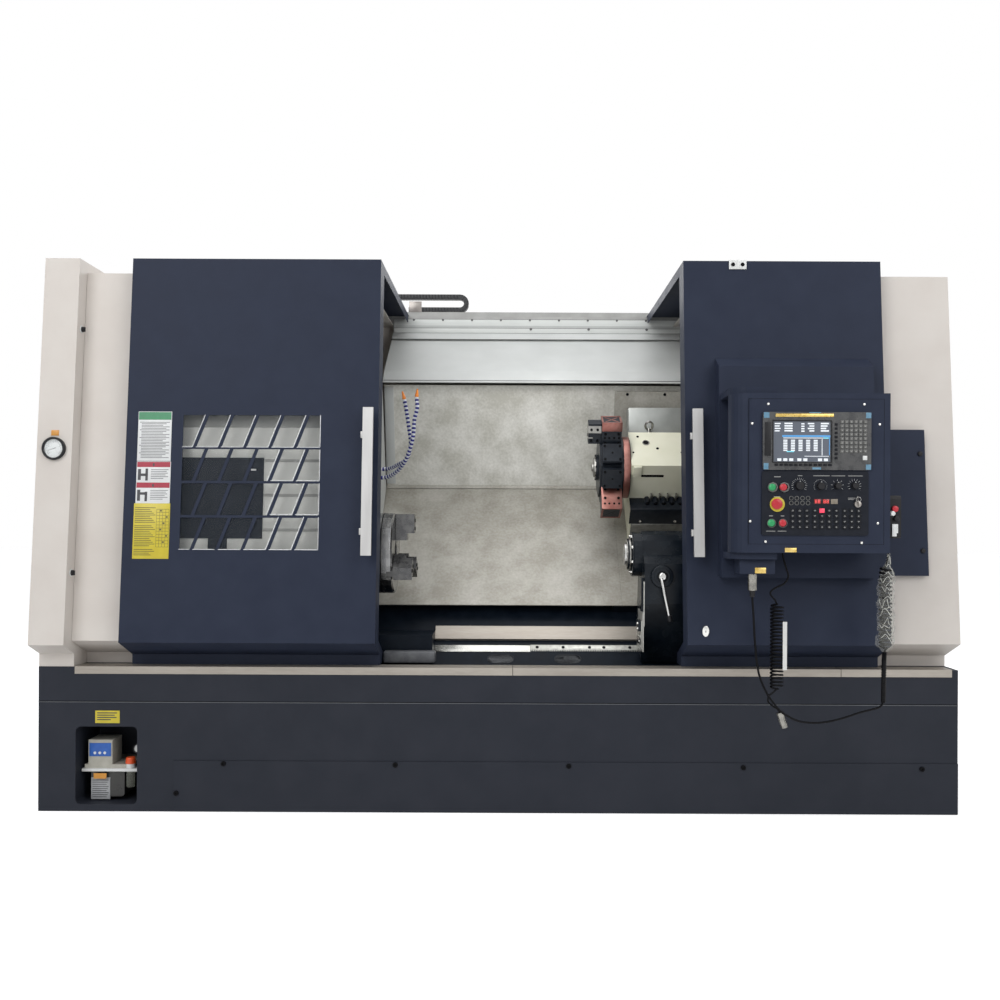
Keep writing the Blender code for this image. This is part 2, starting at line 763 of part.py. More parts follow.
def spindle():
    centre = (spindle_y, spindle_z)
    frame = empty_at("spindle_axis", (chuck_face, spindle_y, spindle_z))
    profile = [(spindle_tail, spindle_radius / 2), (pulley_left, spindle_radius / 2),
               (pulley_left, spindle_pulley_radius), (pulley_right, spindle_pulley_radius),
               (pulley_right, spindle_radius), (chuck_left, spindle_radius)]
    profile = [(pulley_left, spindle_pulley_radius), (pulley_right, spindle_pulley_radius),
               (pulley_right, spindle_radius), (chuck_left, spindle_radius),
               (chuck_left, chuck_radius), (chuck_face - chuck_edge, chuck_radius),
               (chuck_face, chuck_radius - chuck_edge)]
    body = turned("spindle_and_chuck", profile, 0, centre, bright_steel, frame, 32)
    over = cut_over
    tool = rod("bar_bore_cut", pulley_left - over, chuck_left - over, bar_bore, 0, centre,
               None, frame, 16)
    cut(body, tool)
    tool = rod("chuck_bore_cut", chuck_left - over * 2, chuck_face + over, chuck_bore, 0, centre,
               None, frame, 16)
    cut(body, tool)
    for k in range(jaw_count):
        turn = Matrix.Rotation(math.tau * k / jaw_count, 4, "X")
        low = (chuck_face - slot_depth, -slot_half_width, chuck_bore / 2)
        slot = block("slot_cut_" + str(k), low, (chuck_face + over, slot_half_width, chuck_radius + over))
        slot.data.transform(Matrix.Translation((-chuck_face, 0, 0)))
        slot.data.transform(turn)
        slot.parent = frame
        cut(body, slot)
        jaw_frame = empty_at("jaw_axis_" + str(k + 1), (0, 0, 0), frame)
        half = slot_half_width - seat_gap * 2
        low = (-slot_depth + seat_gap, -half, jaw_inner)
        jaw = block("jaw_" + str(k + 1), low, (jaw_base_rise, half, jaw_outer), steel, jaw_frame)
        outline = [(jaw_seat, jaw_inner), (jaw_rise, jaw_inner + jaw_step), (jaw_rise, jaw_outer),
                   (jaw_seat, jaw_outer)]
        outline = [(jaw_seat, jaw_inner), (jaw_step_rise, jaw_inner),
                   (jaw_step_rise, jaw_inner + jaw_step), (jaw_rise, jaw_inner + jaw_step),
                   (jaw_rise, jaw_outer - seat_gap), (jaw_seat, jaw_outer - seat_gap)]
        half = jaw_half_width
        join(jaw, prism("jaw_top_" + str(k + 1), outline, 1, -half, half, None, jaw_frame))
        jaw.data.transform(turn)
        bpy.data.objects["jaw_top_" + str(k + 1)].data.transform(turn)


def motor_pulley():
    centre = (motor_y, motor_z)
    frame = empty_at("motor_axis", (motor_left, motor_y, motor_z))
    end = motor_left + motor_foot - seat_gap * 4
    profile = [(pulley_left, motor_pulley_radius), (pulley_right, motor_pulley_radius),
               (pulley_right, motor_shaft), (end, motor_shaft)]
    turned("motor_pulley", profile, 0, centre, steel, frame, 24)


# The saddle, its sliding way covers, the cross slide and the turret
saddle_left_from_tail = -0.245
saddle_left = doorway_right + saddle_left_from_tail
saddle_right_from_tail = 0.335
saddle_right = doorway_right + saddle_right_from_tail
saddle_low = -0.040
saddle_high = 0.660
cover_thick = 0.004
cover_low = -0.050
cover_high = 0.697
cover_lap = 0.039
cover_bend = 0.690
rise_top = 0.925
rise_above = 0.150
left_cover_end_from_head = -0.155
left_cover_end = doorway_left + left_cover_end_from_head
right_cover_end_from_right_end = -0.105
right_cover_end = half_length + right_cover_end_from_right_end
turret_up = 0.550
turret_travel = 0.200
slide_left_from_tail = -0.153
slide_left = doorway_right + slide_left_from_tail
slide_right_from_tail = 0.295
slide_right = doorway_right + slide_right_from_tail
slide_low = 0.360
slide_high = 0.680
turret_half = 0.115
turret_right_from_tail = 0.305
turret_right = doorway_right + turret_right_from_tail
turret_edge = 0.030
disc_left_from_tail = -0.191
disc_left = doorway_right + disc_left_from_tail
disc_right_from_tail = -0.1587
disc_right = doorway_right + disc_right_from_tail
turret_left = disc_right + seat_gap * 2
disc_radius = 0.140
drum_left_from_tail = -0.297
drum_left = doorway_right + drum_left_from_tail
drum_flat = 0.125
drum_sides = 8
holder_reach = 0.229
holder_half = 0.052
holder_left_from_tail = -0.287
holder_left = doorway_right + holder_left_from_tail
holder_right_from_tail = -0.199
holder_right = doorway_right + holder_right_from_tail
tool_tip_left_from_tail = -0.348
tool_tip_left = doorway_right + tool_tip_left_from_tail
tool_half = 0.032
turret_shaft = 0.050
valve_count = 5
valve_radius = 0.011
valve_rise = 0.030


def saddle():
    level = -bed_drop + seat_gap
    under = -cover_drop - cover_thick - seat_gap
    frame = empty_at("saddle_axis", (saddle_left, spindle_y, spindle_z))
    body = slanted("saddle", (saddle_low, saddle_high, level, under), saddle_left, saddle_right,
                   cast_paint, frame)
    spans = (cover_low, cover_high, -cover_drop - cover_thick, -cover_drop)
    slanted("left_way_cover", spans, left_cover_end, saddle_left + cover_lap, steel, frame)
    thick = cover_thick
    low = (cover_low, -cover_drop - thick)
    bend = (cover_bend, -cover_drop - thick)
    top = (rise_top, rise_above)
    outline = [on_slope(*low), on_slope(*bend), on_slope(*top), on_slope(top[0] - thick, top[1]),
               on_slope(bend[0] - thick, bend[1] + thick), on_slope(low[0], low[1] + thick)]
    prism("right_way_cover", outline, 0, saddle_left + cover_lap + seat_gap * 2, right_cover_end,
          steel, frame)
    return frame


def cross_slide(saddle_frame):
    home = on_slope(turret_up, 0)
    place = (turret_left - saddle_left, home[0] - spindle_y, home[1] - spindle_z)
    frame = empty_at("cross_slide_axis", place, saddle_frame)
    world = Vector((saddle_left, spindle_y, spindle_z))
    half = turret_half
    spans = (turret_up - half, turret_up + half, -half, half)
    mesh = prism_mesh(slanted_outline(*spans), 0, turret_left, turret_right)
    mesh.transform(Matrix.Translation(-world))
    body = new_object("turret_body", mesh, cream_paint, frame)
    spans = (slide_low, slide_high, -cover_drop + seat_gap, -half + turret_edge)
    mesh = prism_mesh(slanted_outline(*spans), 0, slide_left, slide_right)
    mesh.transform(Matrix.Translation(-world))
    join(body, new_object("slide_block", mesh, None, frame))
    spindle_frame = empty_at("turret_axis", (0, 0, 0), frame)
    profile = [(drum_left, drum_flat / math.cos(math.pi / drum_sides)),
               (disc_left, drum_flat / math.cos(math.pi / drum_sides))]
    shift = Matrix.Translation(-Vector((turret_left, 0, 0)))
    mesh = round_mesh(profile, 0, (0, 0), drum_sides)
    mesh.transform(Matrix.Rotation(drum_turn, 4, "X"))
    mesh.transform(shift)
    drum = new_object("turret_drum", mesh, steel, spindle_frame)
    drum.data.transform(Matrix.Translation(spindle_frame.location))
    mesh = round_mesh([(disc_left - drum_lap, disc_radius), (disc_right, disc_radius)], 0, (0, 0))
    mesh.transform(shift)
    join(drum, new_object("turret_disc", mesh, None, spindle_frame))
    for k in range(drum_sides):
        turn = Matrix.Rotation(math.tau * k / drum_sides + drum_turn, 4, "X")
        low = (holder_left, -station_half, drum_flat - drum_lap)
        high = (holder_right, station_half, drum_flat + station_rise)
        if k in holder_stations:
            low = (holder_left, -holder_half, drum_flat - drum_lap)
            high = (holder_right, holder_half, holder_reach)
        tool = block("station_" + str(k), low, high)
        tool.data.transform(shift)
        tool.data.transform(turn)
        tool.parent = spindle_frame
        join(drum, tool)
    turn = Matrix.Rotation(math.tau * holder_stations[0] / drum_sides + drum_turn, 4, "X")
    low = (tool_tip_left, -tool_half, drum_flat)
    tool = block("boring_holder", low, (holder_left + drum_lap, tool_half, holder_reach - drum_lap))
    tool.data.transform(shift)
    tool.data.transform(turn)
    tool.parent = spindle_frame
    join(drum, tool)
    mesh = round_mesh([(drum_left - hub_rise, hub_cap_radius), (drum_left + drum_lap, hub_cap_radius)],
                      0, (0, 0), 24)
    mesh.transform(shift)
    join(drum, new_object("turret_hub", mesh, None, spindle_frame))


drum_lap = 0.010
station_half = 0.044
station_rise = 0.030
holder_stations = (0, 3)
drum_turn = math.radians(22.5)
hub_rise = 0.012
hub_cap_radius = 0.060


# The tailstock, its quill and its clamp lever
tail_left_from_tail = -0.145
tail_left = doorway_right + tail_left_from_tail
tail_right_from_tail = 0.255
tail_right = doorway_right + tail_right_from_tail
tail_foot_low = -0.330
tail_foot_high = -0.060
tail_half = 0.100
tail_edge = 0.035
flange_left_from_tail = -0.203
flange_left = doorway_right + flange_left_from_tail
flange_radius = 0.094
nose_radius = 0.066
nose_step = 0.022
barrel_start = math.radians(-40)
barrel_steps = 12
quill_radius = 0.045
quill_left_from_tail = -0.215
quill_left = doorway_right + quill_left_from_tail
quill_right_from_tail = 0.215
quill_right = doorway_right + quill_right_from_tail
quill_bore = 0.016
quill_bore_deep = 0.090
quill_clear = 0.0006
tail_front_behind_spindle = -0.153
tail_front = spindle_y + tail_front_behind_spindle
lever_x_from_tail = -0.075
lever_x = doorway_right + lever_x_from_tail
lever_z_over_spindle = -0.087
lever_z = spindle_z + lever_z_over_spindle
hub_radius = 0.048
hub_depth = 0.030
lever_drop = 0.105
lever_half = 0.010
ball_radius = 0.024


def tailstock():
    frame = empty_at("tailstock_axis", (tail_left, spindle_y, spindle_z))
    level = -bed_drop + way_proud + seat_gap * 2
    foot_low = on_slope(tail_foot_low, level)
    foot_high = on_slope(tail_foot_high - tail_edge, level)
    waist = on_slope(tail_foot_high - tail_edge, -cover_drop)
    outline = [foot_low, foot_high, waist]
    for k in range(barrel_steps + 1):
        turn = barrel_start + (math.pi - barrel_start) * k / barrel_steps
        outline.append((spindle_y + tail_half * math.cos(turn), spindle_z + tail_half * math.sin(turn)))
    outline += [(tail_front, spindle_z - tail_edge), (tail_front, spindle_z - tail_half * 2)]
    body = prism("tailstock", outline, 0, tail_left, tail_right, cast_paint, frame)
    centre = (spindle_y, spindle_z)
    profile = [(flange_left, nose_radius), (flange_left + nose_step, nose_radius),
               (flange_left + nose_step, flange_radius), (tail_left + tail_edge, flange_radius)]
    join(body, turned("flange", profile, 0, centre, None, frame, 24))
    hole = bore(quill_radius + quill_clear, 24)
    cut(body, rod("quill_bore_cut", flange_left - cut_over, quill_right + quill_clear, hole, 0,
                  centre, None, frame, 24))
    centre = (0, 0)
    quill_frame = empty_at("quill_axis", (quill_left - tail_left, 0, 0), frame)
    mesh = round_mesh([(0, quill_radius), (quill_right - quill_left, quill_radius)], 0, centre, 24)
    quill = new_object("quill", mesh, bright_steel, quill_frame)
    quill.data.transform(Matrix.Translation(quill_frame.location))
    mesh = round_mesh([(-cut_over, quill_bore), (quill_bore_deep, quill_bore)], 0, centre, 16)
    cut(quill, new_object("quill_hole_cut", mesh, None, None))
    bpy.data.objects["quill_hole_cut"].parent = quill_frame
    for each in (quill,):
        each.data.shade_smooth()
        each.data.set_sharp_from_angle(angle=math.radians(35))
    lever_place = (lever_x - tail_left, tail_front - seat_gap - spindle_y, lever_z - spindle_z)
    lever_frame = empty_at("clamp_lever_axis", lever_place, frame)
    mesh = round_mesh([(0, hub_radius), (-hub_depth, hub_radius)], 1, (0, 0), 24)
    lever = new_object("clamp_lever", mesh, black_plastic, None)
    lever.parent = lever_frame
    low = (-lever_half, -hub_depth + lever_half / 2, -lever_drop - ball_radius)
    arm = block("lever_arm", low, (lever_half, -lever_half / 2, 0))
    arm.parent = lever_frame
    join(lever, arm)
    mesh = round_mesh([(-lever_drop - ball_radius * 2, ball_radius / 2), (-lever_drop - ball_radius, ball_radius),
                       (-lever_drop, ball_radius), (-lever_drop + ball_radius, ball_radius / 2)],
                      2, (0, -ball_radius - lever_half / 2), 12)
    ball = new_object("lever_ball", mesh, None, None)
    ball.parent = lever_frame
    join(lever, ball)


# The sliding doors
left_door_right = doorway_left
left_door_left = left_door_right - left_door_width
right_door_left = doorway_right
right_door_right = right_door_left + right_door_width
door_foot = ledge_height + strip_thick + seat_gap * 2
flange_short = 0.025
flange_back_y = rail_y - flange_short
pane_inset = 0.231
pane_width = 0.552
pane_sill = 0.473
pane_head = 1.012
pane_high = (left_door_right - pane_inset, ledge_height + pane_head)
pane_low = (pane_high[0] - pane_width, ledge_height + pane_sill)
pane_corner = 0.030
row_count = 4
row_bar = 0.010
bar_pitch = 0.101
bar_width = 0.014
bar_slant_share = 0.374
bar_lead = 0.046
bar_first = pane_low[0] - bar_lead
bar_cells = 6
pane_thick = 0.005
pane_lap = 0.020
grip_width = 0.041
grip_low_over_ledge = 0.454
grip_low = ledge_height + grip_low_over_ledge
grip_high_over_ledge = 1.041
grip_high = ledge_height + grip_high_over_ledge
grip_thick = 0.014
grip_stand = 0.045
stand_high_over_ledge = 0.935
stand_high = ledge_height + stand_high_over_ledge
stand_low_over_ledge = 0.555
stand_low = ledge_height + stand_low_over_ledge
stand_half = 0.012
left_grip_inset = 0.056
left_grip_left = left_door_right - left_grip_inset
right_grip_inset = 0.021
right_grip_left = right_door_left + right_grip_inset


def inside_outline(depth, rise, roof_depth, back):
    """The space behind a door's face at the given depth, and below its roof."""
    over = cut_over
    high = top_z - roof_depth
    return [(skirt_y + depth, door_foot - over), (skirt_y + depth, skirt_top_z + rise),
            (door_front_y + depth, face_bottom_z + rise), (face_y(high) + depth, high),
            (back, high), (back, door_foot - over)]


def door_shell(name, left, right, left_depth, right_depth, frame):
    outline = [(skirt_y, door_foot), (skirt_y, skirt_top_z), (door_front_y, face_bottom_z),
               (face_y(top_z), top_z), (roof_back_y, top_z), (roof_back_y, door_foot)]
    body = prism(name, outline, 0, left, right, dark_paint, frame)
    over = cut_over
    back = roof_back_y + over
    inner = inside_outline(sheet, sheet, sheet, back)
    cut(body, prism(name + "_inner_cut", inner, 0, left + sheet, right - sheet, None, frame))
    middle = (left + right) / 2
    sides = ((left - over, middle + over, left_depth), (middle - over, right + over, right_depth))
    for k, (low, high, depth) in enumerate(sides):
        meets = depth > door_return
        inner = inside_outline(depth, 0, roof_flange if meets else sheet, back)
        tool = prism(name + "_depth_cut_" + str(k), inner, 0, low, high, None, frame)
        cut(body, tool)
    low = (left - over, flange_back_y, top_z - roof_flange - over)
    tool = block(name + "_rail_cut", low, (right + over, back, top_z - sheet), None, frame)
    cut(body, tool)
    return body


def clipped(points, limit, keep_more):
    """Cut an outline off at one value of its first coordinate."""
    kept = []
    for here, ahead in zip(points, points[1:] + points[:1]):
        inside = (here[0] >= limit) == keep_more
        crosses = (here[0] - limit) * (ahead[0] - limit) < 0
        if inside:
            kept.append(here)
        if crosses:
            share = (limit - here[0]) / (ahead[0] - here[0])
            kept.append((limit, here[1] + (ahead[1] - here[1]) * share))
    return kept


def window_cells(body, frame):
    """Four rows of slanted openings. The bars between them stay in the door's sheet."""
    height = pane_high[1] - pane_low[1]
    row_pitch = (height + row_bar) / row_count
    count = 0
    for row in range(row_count):
        low = pane_low[1] + row * row_pitch
        high = low + row_pitch - row_bar
        for cell in range(bar_cells):
            near = bar_first + cell * bar_pitch
            far = near + bar_pitch - bar_width
            shift = (high - low) * bar_slant_share
            outline = [(near, low), (far, low), (far + shift, high), (near + shift, high)]
            outline = clipped(outline, pane_low[0], True)
            outline = clipped(outline, pane_high[0], False) if len(outline) > 2 else []
            if len(outline) < 3:
                continue
            width = max(x for x, z in outline) - min(x for x, z in outline)
            if width < bar_width:
                continue
            front = door_front_y - cut_over
            tool = prism("cell_cut_" + str(count), outline, 1, front, skirt_y + lean, None, frame)
            cut(body, tool)
            count += 1


def pane(name, low, high, frame):
    """A clear sheet held just behind the door's face."""
    depth = sheet + seat_gap * 2
    bottom = low[1] - pane_lap
    top = high[1] + pane_lap
    outline = [(face_y(bottom) + depth, bottom), (face_y(top) + depth, top),
               (face_y(top) + depth + pane_thick, top), (face_y(bottom) + depth + pane_thick, bottom)]
    prism(name, outline, 0, low[0] - pane_lap, high[0] + pane_lap, clear_pane, frame)


def grip(name, left, frame):
    """A flat upright bar on two standoffs, parallel to the leaning face."""
    out = grip_stand + grip_thick
    low = grip_low
    high = grip_high
    outline = [(face_y(low) - out, low), (face_y(high) - out, high),
               (face_y(high) - grip_stand, high), (face_y(low) - grip_stand, low)]
    body = prism(name, outline, 0, left, left + grip_width, light_paint, frame)
    middle = left + grip_width / 2
    for k, height in enumerate((stand_low, stand_high)):
        near = height - stand_half
        far = height + stand_half
        outline = [(face_y(near) - grip_stand - grip_thick / 2, near),
                   (face_y(far) - grip_stand - grip_thick / 2, far),
                   (face_y(far) - seat_gap, far), (face_y(near) - seat_gap, near)]
        join(body, prism(name + "_stand_" + str(k), outline, 0, middle - stand_half,
                         middle + stand_half, None, frame))


def doors():
    left_frame = empty_at("left_door_axis", (left_door_right, skirt_y, door_foot))
    body = door_shell("left_door", left_door_left, left_door_right, door_return, meeting_return,
                      left_frame)
    window_cells(body, left_frame)
    pane("left_window", pane_low, pane_high, left_frame)
    grip("left_handle", left_grip_left, left_frame)
    right_frame = empty_at("right_door_axis", (right_door_left, skirt_y, door_foot))
    door_shell("right_door", right_door_left, right_door_right, meeting_return, door_return,
               right_frame)
    grip("right_handle", right_grip_left, right_frame)
    return right_frame


# The control panel: a support on the right door and a box that swings out from it
support_left_from_tail = 0.125
support_left = doorway_right + support_left_from_tail
support_right_from_tail = 0.739
support_right = doorway_right + support_right_from_tail
support_low_over_ledge = 0.375
support_low = ledge_height + support_low_over_ledge
support_high_over_ledge = 1.25
support_high = ledge_height + support_high_over_ledge
support_proud = 0.070
support_edge = 0.040
arm_left_from_tail = 0.124
arm_left = doorway_right + arm_left_from_tail
arm_right_from_tail = 0.293
arm_right = doorway_right + arm_right_from_tail
arm_rise = 0.024
pin_reach = 0.030
arm_front_y_behind_door_face = -0.23
arm_front_y = door_front_y + arm_front_y_behind_door_face
swivel_x_from_tail = 0.215
swivel_x = doorway_right + swivel_x_from_tail
panel_box_left_from_tail = 0.124
panel_box_left = doorway_right + panel_box_left_from_tail
panel_box_right_from_tail = 0.705
panel_box_right = doorway_right + panel_box_right_from_tail
panel_box_low_over_ledge = 0.4775
panel_box_low = ledge_height + panel_box_low_over_ledge
panel_box_high_over_ledge = 1.0695
panel_box_high = ledge_height + panel_box_high_over_ledge
panel_front_y_behind_door_face = -0.254
panel_front_y = door_front_y + panel_front_y_behind_door_face
panel_box_depth = 0.165
panel_corner = 0.070
swivel_radius = 0.016
swivel_clear = 0.001


def arm_outline(left, right, near, far, radius):
    """A plate with its two left corners rounded, seen from above."""
    points = [(right, near), (right, far)]
    for centre_y, start in ((far - radius, math.pi / 2), (near + radius, math.pi)):
        for k in range(7):
            turn = start + math.pi / 2 * k / 6
            points.append((left + radius + radius * math.cos(turn), centre_y + radius * math.sin(turn)))
    return points


def control_support(frame):
    back_high = face_y(support_high) - seat_gap
    back_low = face_y(support_low) - seat_gap
    front_high = face_y(support_high - support_edge) - support_proud
    outline = [(back_low, support_low), (face_y(support_low) - support_proud, support_low),
               (front_high, support_high - support_edge), (back_high - sheet, support_high),
               (back_high, support_high)]
    body = prism("control_support", outline, 0, support_left, support_right, dark_paint, frame)
    radius = panel_corner
    centre = (swivel_x, panel_front_y + panel_box_depth / 2)
    under = panel_box_low - swivel_clear
    over = panel_box_high + swivel_clear
    arms = (("lower_arm", under - arm_rise, under, under - arm_rise / 2, under + pin_reach),)
    arms += (("upper_arm", over, over + arm_rise, over - pin_reach, over + arm_rise / 2),)
    for name, low, top, pin_low, pin_top in arms:
        far = face_y(low) - support_proud / 2
        outline = arm_outline(arm_left, arm_right, arm_front_y, far, radius)
        join(body, prism(name, outline, 2, low, top, None, frame))
        join(body, rod(name + "_pin", pin_low, pin_top, swivel_radius, 2, centre, None, frame))


def control_panel(door_frame):
    centre_y = panel_front_y + panel_box_depth / 2
    place = Vector((swivel_x, centre_y, panel_box_low)) - door_frame.location
    frame = empty_at("panel_axis", place, door_frame)
    shift = Matrix.Translation(-door_frame.location)
    outline = arm_outline(panel_box_left, panel_box_right, panel_front_y,
                          panel_front_y + panel_box_depth, panel_corner)
    mesh = prism_mesh(outline, 2, panel_box_low, panel_box_high)
    mesh.transform(shift)
    body = new_object("control_box", mesh, dark_paint, frame)
    return body, frame


# What the control box carries
display_low = (0.107, 0.3065)
display_high = (0.507, 0.5205)
display_proud = 0.010
display_corner = 0.008
screen_low = (0.145, 0.3345)
screen_high = (0.359, 0.4885)
screen_sunk = 0.004
plate_low = (0.105, 0.0645)
plate_high = (0.499, 0.3025)
plate_proud = 0.005
button_radius = 0.013
stop_radius = 0.020
button_out = 0.012
button_sunk = 0.003
button_travel = 0.004
button_clear = 0.0008
knob_out = 0.018
knob_tip_share = 0.85
button_places = {
    "power_on_button": (0.141, 0.2425), "power_off_button": (0.182, 0.2425),
    "emergency_stop": (0.159, 0.1805), "start_button": (0.138, 0.1105),
    "hold_button": (0.180, 0.1105),
}
knob_places = {
    "mode_knob": (0.243, 0.2485), "rate_knob": (0.321, 0.2475),
    "feed_knob": (0.384, 0.2485), "speed_knob": (0.447, 0.2495),
}
knob_radii = {"mode_knob": 0.017, "rate_knob": 0.015, "feed_knob": 0.013, "speed_knob": 0.013}
pendant_width = 0.050
pendant_over_box = 0.0555
pendant_tall = 0.159
pendant_setback = 0.026
pendant_depth = 0.070
pendant_corner = 0.012


def in_frame(made_mesh, door_frame):
    made_mesh.transform(Matrix.Translation(-door_frame.location))
    return made_mesh


def on_panel(place):
    """A place on the control box's face, given from its lower left corner."""
    return panel_box_left + place[0], panel_box_low + place[1]


def panel_controls(box, frame, door_frame):
    front = panel_front_y - seat_gap
    shift = door_frame
    outline = rounded_outline(on_panel(display_low), on_panel(display_high), display_corner, 2)
    mesh = in_frame(prism_mesh(outline, 1, front - display_proud, front), shift)
    display = new_object("display_unit", mesh, black_plastic, frame)
    face = front - display_proud
    outline = rounded_outline(on_panel(screen_low), on_panel(screen_high), display_corner, 2)
    mesh = in_frame(prism_mesh(outline, 1, face - cut_over, face + screen_sunk), shift)
    cut(display, new_object("screen_cut", mesh, None, frame))
    outline = rounded_outline(on_panel(plate_low), on_panel(plate_high), display_corner, 2)
    mesh = in_frame(prism_mesh(outline, 1, front - plate_proud, front), shift)
    plate = new_object("operator_plate", mesh, black_plastic, frame)
    face = front - plate_proud
    deep = face + button_sunk + button_travel + plate_proud
    for name, spot in button_places.items():
        place = on_panel(spot)
        radius = stop_radius if name == "emergency_stop" else button_radius
        finish = green_plastic if name in ("power_on_button", "start_button") else red_plastic
        hole = radius + button_clear
        for target, label in ((plate, "_plate_cut"), (box, "_box_cut")):
            mesh = in_frame(round_mesh([(face - cut_over, hole), (deep, hole)], 1, place, 16), shift)
            cut(target, new_object(name + label, mesh, None, frame))
        at = Vector((place[0], face, place[1])) - door_frame.location - frame.location
        button_frame = empty_at(name + "_axis", at, frame)
        profile = [(button_sunk, radius), (-button_out, radius), (-button_out - button_sunk, radius / 2)]
        mesh = round_mesh(profile, 1, (0, 0), small_sides)
        button = new_object(name, mesh, finish, None)
        button.parent = button_frame
        button.data.shade_smooth()
        button.data.set_sharp_from_angle(angle=math.radians(35))
    for name, spot in knob_places.items():
        place = on_panel(spot)
        at = Vector((place[0], face - seat_gap, place[1])) - door_frame.location - frame.location
        knob_frame = empty_at(name + "_axis", at, frame)
        radius = knob_radii[name]
        profile = [(0, radius), (-knob_out, radius * knob_tip_share)]
        knob = new_object(name, round_mesh(profile, 1, (0, 0), small_sides), black_plastic, None)
        knob.parent = knob_frame
        knob.data.shade_smooth()
        knob.data.set_sharp_from_angle(angle=math.radians(35))
    low = (panel_front_y + pendant_setback, panel_box_low + pendant_over_box)
    high = (low[0] + pendant_depth, low[1] + pendant_tall)
    outline = rounded_outline(low, high, pendant_corner, 2)
    left = panel_box_right + seat_gap
    mesh = in_frame(prism_mesh(outline, 0, left, left + pendant_width), shift)
    new_object("pendant", mesh, black_plastic, frame)


# The control's two free cables, which hang in front of the base
cable_y = -1.158
spare_y = -1.118
cable_radius = 0.0055
thin_radius = 0.0035
coil_radius = 0.030
sleeve_radius = 0.011
pendant_route = [
    (1.475, 1.1127), (1.472, 1.016), (1.463, 1.011), (1.463, 0.683), (1.458, 0.680), (1.457, 0.478),
    (1.415, 0.470), (1.368, 0.454), (1.303, 0.432), (1.243, 0.418), (1.191, 0.414), (1.139, 0.420),
    (1.100, 0.437), (1.065, 0.461), (1.019, 0.521), (0.985, 0.603), (0.971, 0.7155), (0.966, 0.802),
    (0.960, 0.8897),
]
connector_low = 0.890
connector_step = 0.914
connector_radius = 0.017
boot_radius = 0.009
spare_route_top = [
    (1.085, 1.0565), (1.085, 1.040), (1.0997, 0.990), (1.106, 0.964), (1.091, 0.938), (1.0604, 0.9225),
    (1.041, 0.909), (1.039, 0.894), (1.0604, 0.873), (1.0627, 0.860),
]
spare_route_low = [(1.0627, 0.530), (1.030, 0.515), (1.030, 0.480), (1.066, 0.462), (1.0755, 0.4465)]
spare_coil_radius = 0.028
free_top = (1.0757, 0.446)
free_end = (1.094, 0.389)
free_radius = 0.014


def routed(points, y):
    return [(x, y, z) for x, z in points]


def cables(frame, door_frame):
    shift = Matrix.Translation(-door_frame.location)
    head = smooth_path(routed(pendant_route[:2], cable_y), 2)
    tail = smooth_path(routed(pendant_route[5:], cable_y), 3)
    coil = [(x, cable_y, z) for x, z in pendant_route[2:4]]
    sleeve = [(x, cable_y, z) for x, z in pendant_route[4:6]]
    path = head + [Vector(p) for p in coil + sleeve] + tail[1:]
    radii = [cable_radius] * len(head) + [coil_radius] * 2 + [sleeve_radius] * 2
    radii += [thin_radius] * (len(tail) - 1)
    mesh = swept_mesh(path, radii, 10)
    mesh.transform(shift)
    new_object("pendant_cord", mesh, black_plastic, frame)
    centre = (swivel_x, cable_y)
    top = panel_box_low - swivel_clear - arm_rise - seat_gap * 2
    profile = [(connector_low, boot_radius), (connector_step, boot_radius),
               (connector_step, connector_radius), (top, connector_radius)]
    mesh = round_mesh(profile, 2, centre, small_sides)
    mesh.transform(shift)
    new_object("swivel_connector", mesh, bright_steel, frame)
    head = smooth_path(routed(spare_route_top, spare_y), 2)
    tail = smooth_path(routed(spare_route_low, spare_y), 2)
    path = head + tail
    radii = [thin_radius] * (len(head) - 1) + [spare_coil_radius] * 2 + [thin_radius] * (len(tail) - 1)
    mesh = swept_mesh(path, radii, 10)
    mesh.transform(shift)
    new_object("spare_cord", mesh, black_plastic, frame)
    path = routed((free_top, free_end), spare_y)
    mesh = swept_mesh(path, [free_radius, free_radius], 12)
    mesh.transform(shift)
    new_object("free_connector", mesh, bright_steel, frame)


# Small fixed pieces: the hatch, the energy chain and the coolant hoses
hatch_left_from_right_end = -0.285
hatch_left = half_length + hatch_left_from_right_end
hatch_right_from_right_end = -0.129
hatch_right = half_length + hatch_right_from_right_end
hatch_low_over_ledge = 0.38
hatch_low = ledge_height + hatch_low_over_ledge
hatch_high_over_ledge = 0.968
hatch_high = ledge_height + hatch_high_over_ledge
hatch_proud = 0.030
chain_y = roof_back_y + chain_gap
chain_width = 0.036
chain_height = 0.025
chain_bend = 0.0460
chain_turn_x_from_head = 0.309
chain_turn_x = doorway_left + chain_turn_x_from_head
chain_fixed_x_from_head = -0.003
chain_fixed_x = doorway_left + chain_fixed_x_from_head
chain_free_x_from_head = -0.515
chain_free_x = doorway_left + chain_free_x_from_head
hose_radius = 0.009
hose_tip_radius = 0.003
hose_places = {
    "coolant_hose_1": [(-0.5608, -0.420, 1.402), (-0.500, -0.425, 1.403), (-0.445, -0.500, 1.420), (-0.405, -0.560, 1.440),
                       (-0.385, -0.590, 1.500), (-0.392, -0.600, 1.570), (-0.402, -0.605, 1.640)],
    "coolant_hose_2": [(-0.5609, -0.470, 1.362), (-0.500, -0.475, 1.364), (-0.445, -0.540, 1.390), (-0.402, -0.600, 1.440),
                       (-0.372, -0.640, 1.520), (-0.364, -0.650, 1.600), (-0.352, -0.655, 1.650)],
}


def side_hatch():
    bottom = front_y - front_reach + cover_setback - seat_gap
    low = face_y(hatch_low, bottom)
    high = face_y(hatch_high, bottom)
    outline = [(low - hatch_proud, hatch_low), (high - hatch_proud, hatch_high), (high, hatch_high),
               (low, hatch_low)]
    prism("side_hatch", outline, 0, hatch_left, hatch_right, dark_paint)


